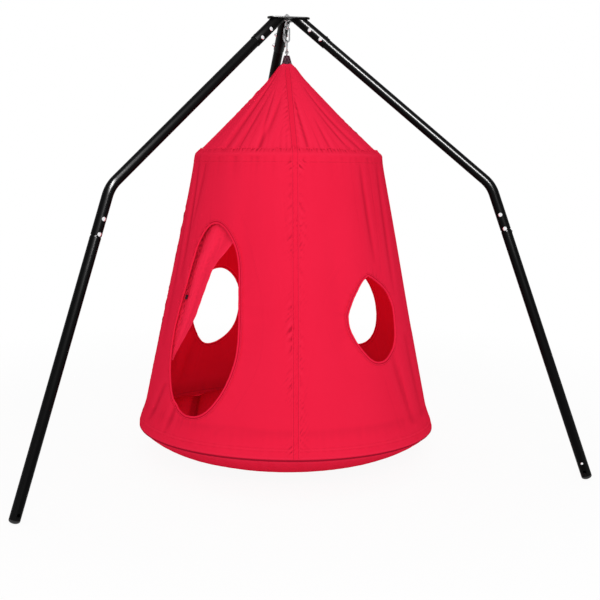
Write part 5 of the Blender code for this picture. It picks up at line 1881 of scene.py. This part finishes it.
@dataclass
class Stand:
    """The tripod: hub bracket, bent upper tubes, swaged lower tubes, feet and fasteners."""

    origin: Matrix
    finishes: Finishes
    scatter: GeometryTree
    beads: GeometryTree
    tube_od: float = 0.038
    tube_wall: float = 0.0016
    clearance: float = 0.0003
    foot_circle: float = 1.177
    lower_lean: float = radians(20)
    upper_slope: float = radians(39.5)
    bend_radius: float = 0.120
    seam_drop: float = 0.170
    swage_length: float = 0.084
    swage_taper: float = 0.006
    plate: float = 0.006
    plate_reach: float = 0.090
    plate_lobe: float = 0.024
    plate_bore: float = 0.0053
    socket_wall: float = 0.0018
    socket_reach: float = 0.157
    mitre_reach: float = 0.078
    tube_top_reach: float = 0.073
    bolt: float = 0.008
    bolt_head: tuple[float, float] = (0.0075, 0.0045)
    bolt_flats: float = 0.013
    bolt_nut: float = 0.0055
    bolt_tail: float = 0.004
    hub_bolt_reaches: tuple[float, float] = (0.097, 0.139)
    joint_bolt_drops: tuple[float, float] = (0.112, 0.165)
    button_radius: float = 0.0035
    hub_button_reach: float = 0.146
    joint_button_drop: float = 0.182
    plug_flange: float = 0.003
    plug_dome: float = 0.0102
    stake_hole: float = 0.012
    stake_rise: float = 0.018
    rivet_rise: float = 0.052
    rivet_head: float = 0.0045
    plate_bevel: float = 0.0008
    socket_bevel: float = 0.0005
    button_hole: float = 0.0038
    bead_pitch: float = 0.0017
    bead_length: float = 0.0042
    bead_radius: float = 0.0016
    around: int = 40

    def __post_init__(self) -> None:
        """Work out the leg's centreline from the hub plate's height."""
        self.plate_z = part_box("hub_bracket")[1].z - self.plate
        self.tube_r = self.tube_od / 2
        self.inner_r = self.tube_r - self.tube_wall
        self.drill_r = self.bolt / 2 + self.clearance
        self.socket_r = self.tube_r + self.clearance + self.socket_wall
        steep = tan(self.upper_slope)
        self.apex_z = self.plate_z - self.socket_r / cos(self.upper_slope) + steep * self.mitre_reach
        bend_z = (self.apex_z - steep * self.foot_circle) / (1 - steep * tan(self.lower_lean))
        self.slope = Vector((cos(self.upper_slope), 0, -sin(self.upper_slope)))
        self.lean = Vector((-sin(self.lower_lean), 0, cos(self.lower_lean)))
        self.off_slope = Vector((sin(self.upper_slope), 0, cos(self.upper_slope)))
        self.foot = Vector((self.foot_circle, 0, 0))
        self.bend = Vector((self.foot_circle - tan(self.lower_lean) * bend_z, 0, bend_z))
        self.tube_end = self.plug_dome + self.plug_flange + self.clearance

    def slope_point(self, reach: float) -> Vector:
        """Return the upper tube's centreline at a reach from the stand's axis."""
        return Vector((reach, 0, self.apex_z - tan(self.upper_slope) * reach))

    def lean_point(self, drop: float) -> Vector:
        """Return the lower straight's centreline at a distance below the bend's corner."""
        return self.bend - self.lean * drop

    def foot_point(self, rise: float) -> Vector:
        """Return the lower straight's centreline at a distance above the tube's end."""
        return self.foot + self.lean * (self.tube_end + rise)

    @staticmethod
    def crosswise(centre: Vector, side: int = 1) -> Matrix:
        """Return the matrix that lays a Z-long mesh square to the leg's plane."""
        return Matrix.Translation(centre) @ Matrix.Rotation(-side * pi / 2, 4, "X")

    def drill(self, centre: Vector, radius: float, sides: int) -> Mesh:
        """Return a drill, square to the leg's plane, for a hole through a tube."""
        return cylinder(radius, 3 * self.tube_od, self.crosswise(centre), sides)

    def pipe(self, points: Sequence[Vector]) -> Mesh:
        """Return a hollow tube along points in the leg's plane, square at its ends."""
        cage = bmesh.new()
        frames = path_frames(points, Vector((0, 1, 0)))
        rings = [
            [cage.verts.new(point + across * a + out * b) for a, b in round_profile(radius, self.around)]
            for radius, order in ((self.tube_r, frames), (self.inner_r, frames[::-1]))
            for point, across, out in order
        ]
        bridged(cage, rings + rings[:1])
        return outward(cage)

    def upper_leg(self) -> Mesh:
        """Return an upper tube with its bend, bolt holes and snap button."""
        angle = pi / 2 - self.lower_lean - self.upper_slope
        start = self.bend - self.slope * self.bend_radius * tan(angle / 2)
        arm = self.off_slope * self.bend_radius
        points = [self.slope_point(self.tube_top_reach)]
        points += [start - arm + Matrix.Rotation(angle * step / 16, 3, "Y") @ arm for step in range(17)]
        rim = self.lean_point(self.seam_drop)
        pipe = self.pipe([*points, rim + self.lean * 0.0008, rim])
        holes = [self.slope_point(reach) for reach in self.hub_bolt_reaches]
        holes += [self.lean_point(drop) for drop in self.joint_bolt_drops]
        for centre in holes:
            pipe = combined(pipe, self.drill(centre, self.drill_r, 20))
        proud = self.clearance + self.socket_wall + self.tube_wall / 2
        return joined([pipe, self.button(self.off_slope, self.slope_point(self.hub_button_reach), proud)])

    def button(self, spring: Vector, centre: Vector, base: float) -> Mesh:
        """Return a domed snap button that stands out of a tube.

        Args:
            spring: The direction that it stands out in.
            centre: The place on the tube's centreline under it.
            base: How far up its plain part reaches from the middle of the tube's wall.

        Returns:
            The closed mesh.
        """
        radius, height = self.button_radius, base + 0.0025
        lathe = [(0, height), (radius * 0.5, height - 0.0003), (radius * 0.85, height - 0.001)]
        solid = turned([*lathe, (radius, height - 0.002), (radius, 0), (0, 0)], 24)
        solid.transform(laid_along(spring, centre + spring * (self.tube_r - self.tube_wall / 2)))
        return solid

    def lower_leg(self) -> Mesh:
        """Return a lower tube with its swaged top, bolt holes, stake hole and snap button."""
        swage_r, swage_in = self.inner_r - self.clearance, self.inner_r - self.clearance - self.tube_wall
        seam = (self.bend - self.foot).length - self.seam_drop - 0.001
        lathe = [(swage_r, seam + self.swage_length), (swage_r, seam)]
        for step in range(1, 7):
            radius = swage_r + (self.tube_r - swage_r) * smooth_step(step / 6)
            lathe.append((radius, seam - self.swage_taper * step / 6))
        lathe += [(self.tube_r, self.tube_end), (self.inner_r, self.tube_end)]
        lathe += [(self.inner_r, seam - self.swage_taper), (swage_in, seam)]
        lathe.append((swage_in, seam + self.swage_length))
        pipe = turned(lathe, self.around, closed=True)
        pipe.transform(laid_along(self.lean, self.foot))
        for drop in self.joint_bolt_drops:
            pipe = combined(pipe, self.drill(self.lean_point(drop), self.drill_r, 20))
        pipe = combined(pipe, self.drill(self.foot_point(self.stake_rise), self.stake_hole / 2, 28))
        spring = Vector((cos(self.lower_lean), 0, sin(self.lower_lean)))
        button = self.button(spring, self.lean_point(self.joint_button_drop), self.tube_wall / 2)
        return joined([pipe, button])

    def foot_plug(self) -> Mesh:
        """Return a foot plug: stem, flange and a dome cut flat where it meets the floor."""
        stem, top, radius = self.inner_r - self.clearance, self.plug_dome + self.plug_flange, self.tube_r
        lathe = [(0, top), (stem - 0.003, top), (stem - 0.003, top + 0.008), (stem, top + 0.008), (stem, top)]
        lathe += [(radius - 0.0004, top), (radius, top - 0.0005), (radius, self.plug_dome)]
        for step in range(1, 13):
            angle = pi / 2 * step / 12
            lathe.append((radius * cos(angle) if step < 12 else 0, self.plug_dome * (1 - sin(angle))))
        plug = turned(lathe)
        plug.transform(laid_along(self.lean, self.foot))
        return combined(plug, slab(0.0, self.foot_circle))

    def bolt_solid(self, width: float) -> Mesh:
        """Return a through bolt along Z for a width: domed head at +Z, lock nut and tail at -Z."""
        top, half, (head, rise) = width / 2 + self.clearance, self.bolt / 2, self.bolt_head
        end = -top - self.bolt_nut - self.bolt_tail
        lathe = [(0, top + rise)]
        for step in range(1, 9):
            angle = pi / 2 * step / 8
            lathe.append((head * sin(angle), top + 0.0009 + (rise - 0.0009) * cos(angle)))
        lathe += [(head, top), (half, top), (half, end + 0.0006), (half - 0.0006, end), (0, end)]
        nut = hex_solid(self.bolt_flats, self.bolt_nut, half)
        nut.transform(Matrix.Translation((0, 0, -top - self.bolt_nut / 2)))
        return joined([turned(lathe, self.around), nut])

    def fasten(self, name: str, shape: Mesh, places: Sequence[Matrix], nodes: Sequence[str]) -> None:
        """Set a fastener at each place with the scatter tree, and dress the set as one piece."""
        item = link_object("fastener_shape", smoothed(shape))
        solid = self.scatter.run(self.finishes.bright, point_mesh(places), Shape=item)
        bpy.data.objects.remove(item)
        dress(name, solid, self.finishes.bright, Body.STAND, nodes)

    def fasteners(self) -> None:
        """Build the hub bolts, the joint bolts and the rivets."""
        sides = {"right": -1, "left": 1, "rear": -1}
        hub, joint, rivets = [], [], []
        for name, side in sides.items():
            turn = self.origin @ Matrix.Rotation(LEGS[name], 4, "Z")
            hub += [turn @ self.crosswise(self.slope_point(reach), side) for reach in self.hub_bolt_reaches]
            joint += [turn @ self.crosswise(self.lean_point(drop), side) for drop in self.joint_bolt_drops]
            rivets.append(turn @ self.crosswise(self.foot_point(self.rivet_rise), -1))
        numbered = [f"{name}_{number}" for name in sides for number in (1, 2)]
        for kind, width, places in (("hub", self.socket_r * 2, hub), ("joint", self.tube_od, joint)):
            nodes = [f"{kind}_bolt_{name}" for name in numbered]
            self.fasten(f"{kind}_bolts", self.bolt_solid(width), places, nodes)
        face, head, shank = self.tube_r + self.clearance, self.rivet_head, 0.0025
        lathe = [(0, face + 0.0022), (head * 0.55, face + 0.0019), (head * 0.9, face + 0.0009), (head, face)]
        rivet = turned([*lathe, (shank, face), (shank, face - 0.0032), (0, face - 0.0032)], 28)
        self.fasten("foot_rivets", rivet, rivets, [f"foot_rivet_{name}" for name in sides])

    def hub(self) -> None:
        """Build the hub bracket: a bevelled three-lobed plate on three mitred, drilled sockets."""
        outline = []
        for azimuth in (LEGS["right"], LEGS["rear"], LEGS["left"]):
            centre = Vector((cos(azimuth), sin(azimuth), 0)) * (self.plate_reach - self.plate_lobe)
            for step in range(19):
                angle = azimuth + radians(-60 + 120 * step / 18)
                outline.append(centre + Vector((cos(angle), sin(angle), 0)) * self.plate_lobe)
        levels = (self.plate_z, self.plate_z + self.plate)
        faces = [[point + UP * level for point in outline] for level in levels]
        plate = bevelled(prism(*faces), self.plate_bevel)
        bracket = combined(plate, cylinder(self.plate_bore, 0.09, Matrix.Translation((0, 0, self.plate_z))))
        start = self.slope_point(-self.socket_reach / 2)
        tubes = []
        sizes = ((self.socket_reach, self.socket_r), (self.socket_reach * 2, self.tube_r + self.clearance))
        for reach, radius in sizes:
            end = self.slope_point(reach)
            place = laid_along(self.slope, (end + start) / 2)
            tubes.append(cylinder(radius, (end - start).length, place, 48))
        socket = combined(bevelled(tubes[0], self.socket_bevel), slab(self.plate_z + self.plate / 2 + 1))
        bore = combined(tubes[1], slab(self.plate_z + 1))
        button = self.slope_point(self.hub_button_reach) + self.off_slope * self.tube_r
        cutters = [bore]
        cutters += [self.drill(self.slope_point(reach), self.drill_r, 20) for reach in self.hub_bolt_reaches]
        cutters.append(cylinder(self.button_hole, self.tube_od, laid_along(self.off_slope, button), 24))
        for operation, tools in (("UNION", [socket]), ("DIFFERENCE", cutters)):
            for azimuth in LEGS.values():
                for tool in tools:
                    shape = tool.copy()
                    shape.transform(Matrix.Rotation(azimuth, 4, "Z"))
                    bracket = combined(bracket, shape, operation)
        coat = self.finishes.coat
        dress("hub_bracket_weldment", bracket, coat, Body.STAND, ["hub_bracket"], self.origin, 30)
        welds = line_mesh([self.weld(azimuth) for azimuth in LEGS.values()])
        bead = {"Spacing": self.bead_pitch, "Stitch_Length": self.bead_length, "Thread_Radius": self.bead_radius}
        beads = self.beads.run(coat, welds, **bead)
        dress("hub_welds", beads, coat, Body.STAND, (), self.origin, 80)

    def weld(self, azimuth: float) -> list[Vector]:
        """Return the line of the weld where the socket at an azimuth meets the plate's underside."""
        line = []
        for step in range(41):
            angle = radians(-96 + 192 * step / 40)
            lift = self.socket_r * cos(angle)
            reach = (self.apex_z + lift * cos(self.upper_slope) - self.plate_z) / tan(self.upper_slope)
            x = reach + lift * sin(self.upper_slope)
            place = Vector((x, self.socket_r * sin(angle), self.plate_z - 0.0006))
            line.append(Matrix.Rotation(azimuth, 3, "Z") @ place)
        return line

    def build(self) -> None:
        """Build the whole stand."""
        self.hub()
        coat, rubber = self.finishes.coat, self.finishes.rubber
        kinds = (("upper_leg", "tube", self.upper_leg(), coat), ("lower_leg", "tube", self.lower_leg(), coat),
                 ("foot_plug", "cap", self.foot_plug(), rubber))
        for name, azimuth in LEGS.items():
            turn = self.origin @ Matrix.Rotation(azimuth, 4, "Z")
            for node, suffix, mesh, finish in kinds:
                dress(f"{node}_{name}_{suffix}", mesh.copy(), finish, Body.STAND, [f"{node}_{name}"], turn)
        self.fasteners()


@dataclass(frozen=True)
class Lamp:
    """A rectangular lamp: where it stands and aims, its length and width, its watts and its long side."""

    name: str
    at: Vector
    aim: Vector
    size: tuple[float, float]
    power: float
    side: Vector
    mirror: bool

    def build(self) -> Object:
        """Add the lamp, which only shiny pieces see where mirror is true, and only dull ones otherwise."""
        light = bpy.data.lights.new(self.name, "AREA")
        light.shape = "RECTANGLE"
        light.size, light.size_y = self.size
        light.energy = self.power
        item = bpy.data.objects.new(self.name, light)
        back = (self.at - self.aim).normalized()
        along = (self.side - back * self.side.dot(back)).normalized()
        frame = Matrix((along, back.cross(along), back)).transposed().to_4x4()
        item.matrix_world = Matrix.Translation(self.at) @ frame
        item.visible_diffuse = not self.mirror
        item.visible_glossy = self.mirror
        bpy.context.scene.collection.objects.link(item)
        return item


@dataclass(frozen=True)
class Studio:
    """Camera, lamps, floor and backdrop."""

    camera: tuple[float, float, float] = (-0.727, -3.827, 1.187)
    pitch: float = 80.89
    yaw: float = -12.45
    roll: float = -0.25
    lens: float = 55.06
    sensor: float = 36.0
    ambient: float = 0.67
    keep_white: float = 0.93
    clear_radius: tuple[float, float] = (1.3, 2.6)
    glow_at: tuple[float, float, float] = (0, -0.29, 0.62)
    glow_power: float = 2.2
    glow_colour: Colour = (1.0, 0.25, 0.35)

    def seen(self, nodes: Nodes) -> Socket:
        """Return 1 for rays that see the backdrop: camera, mirror and glass rays."""
        light = nodes.add("ShaderNodeLightPath")
        seen = light.outputs["Is Camera Ray"]
        for name in ("Is Glossy Ray", "Is Transmission Ray"):
            seen = nodes.math("MAXIMUM", seen, light.outputs[name])
        return seen

    def world(self) -> None:
        """Make the white world, which lights the object more softly than it shows."""
        world = bpy.data.worlds.new("studio")
        bpy.context.scene.world = world
        world.use_nodes = True
        nodes = Nodes(world.node_tree)
        background = nodes.tree.nodes["Background"].inputs
        nodes.feed(background["Color"], (1, 1, 1, 1))
        nodes.feed(background["Strength"], nodes.span(self.seen(nodes), self.ambient, 1.0))

    def floor(self) -> None:
        """Make the pale floor, which stays white to the eye and keeps the object's soft shadow."""
        cage = bmesh.new()
        place = Matrix.Translation((0, 0, -0.0006))
        bmesh.ops.create_grid(cage, x_segments=1, y_segments=1, size=30, matrix=place)
        item = link_object("studio_floor", mesh_from(cage))
        tree = ShaderTree("studio_floor")
        tree.set(Base_Color=(0.9, 0.9, 0.9, 1), Roughness=1.0, Specular_IOR_Level=0.0)
        distance = tree.out("ShaderNodeVectorMath", "Value", {0: tree.space()}, operation="LENGTH")
        white = tree.span(distance, self.keep_white, 1.0, *self.clear_radius)
        share, glow = tree.math("MULTIPLY", self.seen(tree), white), tree.out("ShaderNodeEmission", 0)
        mix = tree.out("ShaderNodeMixShader", 0, {0: share, 1: tree.shader.outputs[0], 2: glow})
        tree.feed(tree.tree.nodes["Material Output"].inputs["Surface"], mix)
        item.data.materials.append(tree.material)

    def glow(self) -> None:
        """Add the soft red light that the cloth lets through into the tent."""
        light = bpy.data.lights.new("glow_through_cloth", "POINT")
        light.energy = self.glow_power
        light.color = self.glow_colour
        light.shadow_soft_size = 0.14
        item = bpy.data.objects.new("glow_through_cloth", light)
        item.location = self.glow_at
        item.visible_camera = False
        item.visible_glossy = False
        bpy.context.scene.collection.objects.link(item)

    def build(self) -> None:
        """Set up the camera, the lamps and what they stand on."""
        scene = bpy.context.scene
        data = bpy.data.cameras.new("camera")
        data.lens, data.sensor_width = self.lens, self.sensor
        item = bpy.data.objects.new("camera", data)
        item.location = self.camera
        item.rotation_euler = (radians(self.pitch), radians(self.roll), radians(self.yaw))
        scene.collection.objects.link(item)
        scene.camera = item
        scene.view_settings.view_transform = "Standard"
        self.world()
        self.floor()
        tent, hub, arm = Vector((0, -0.3, 0.8)), Vector((0, -0.3, 1.6)), Vector((0.668, -0.386, -0.636))
        Lamp("key_lamp", Vector((-0.5, -4.0, 2.3)), tent, (1.8, 1.8), 53.0, Vector((1, 0, 0)), False).build()
        strip = Lamp("strip_lamp", Vector((-0.33, -2.98, 2.90)), hub, (2.2, 0.42), 3900.0, arm, True).build()
        tubes = bpy.data.collections.new("tubes")
        for item in scene.collection.objects:
            if item.name.startswith(("upper_leg", "lower_leg", "hub_bracket")):
                tubes.objects.link(item)
        strip.light_linking.receiver_collection = tubes
        self.glow()


def tent_place(joints: Sequence[dict]) -> Matrix:
    """Return the matrix that sets the tent's own frame in place, read from the swing's hinge."""
    swing = next(joint for joint in joints if joint["name"] == "ring_swing")
    x, y = swing["axis"][:2]
    return Matrix.Translation((*swing["pos_m"][:2], 0)) @ Matrix.Rotation(atan2(y, x), 4, "Z")


def main() -> None:
    """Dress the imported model, piece by piece, and light it."""
    logging.basicConfig(level=logging.INFO)
    for item in list(bpy.data.objects):
        bpy.data.objects.remove(item)
    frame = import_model()
    place = tent_place(frame["joints"])
    low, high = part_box("base_hoop")
    form = TentForm((low.z + high.z) / 2, place)
    finishes = Finishes()
    stitches = stitch_tree()
    stitching = Stitching(stitches)
    Stand(Matrix.Translation(place.translation), finishes, scatter_tree(), stitches).build()
    HangingChain(form, finishes, thread_tree()).build()
    for part in (Crown, Roof, WallPanels, Bindings, SeamTapes, Hoops, Cushion, DoorFlap):
        part(form, finishes, stitching).build()
    sewn = stitching.sew(finishes.thread)
    dress("tent_stitches", sewn, finishes.thread, Body.TENT, (), form.hang, 80)
    Studio().build()


if __name__ == "__main__":
    main()
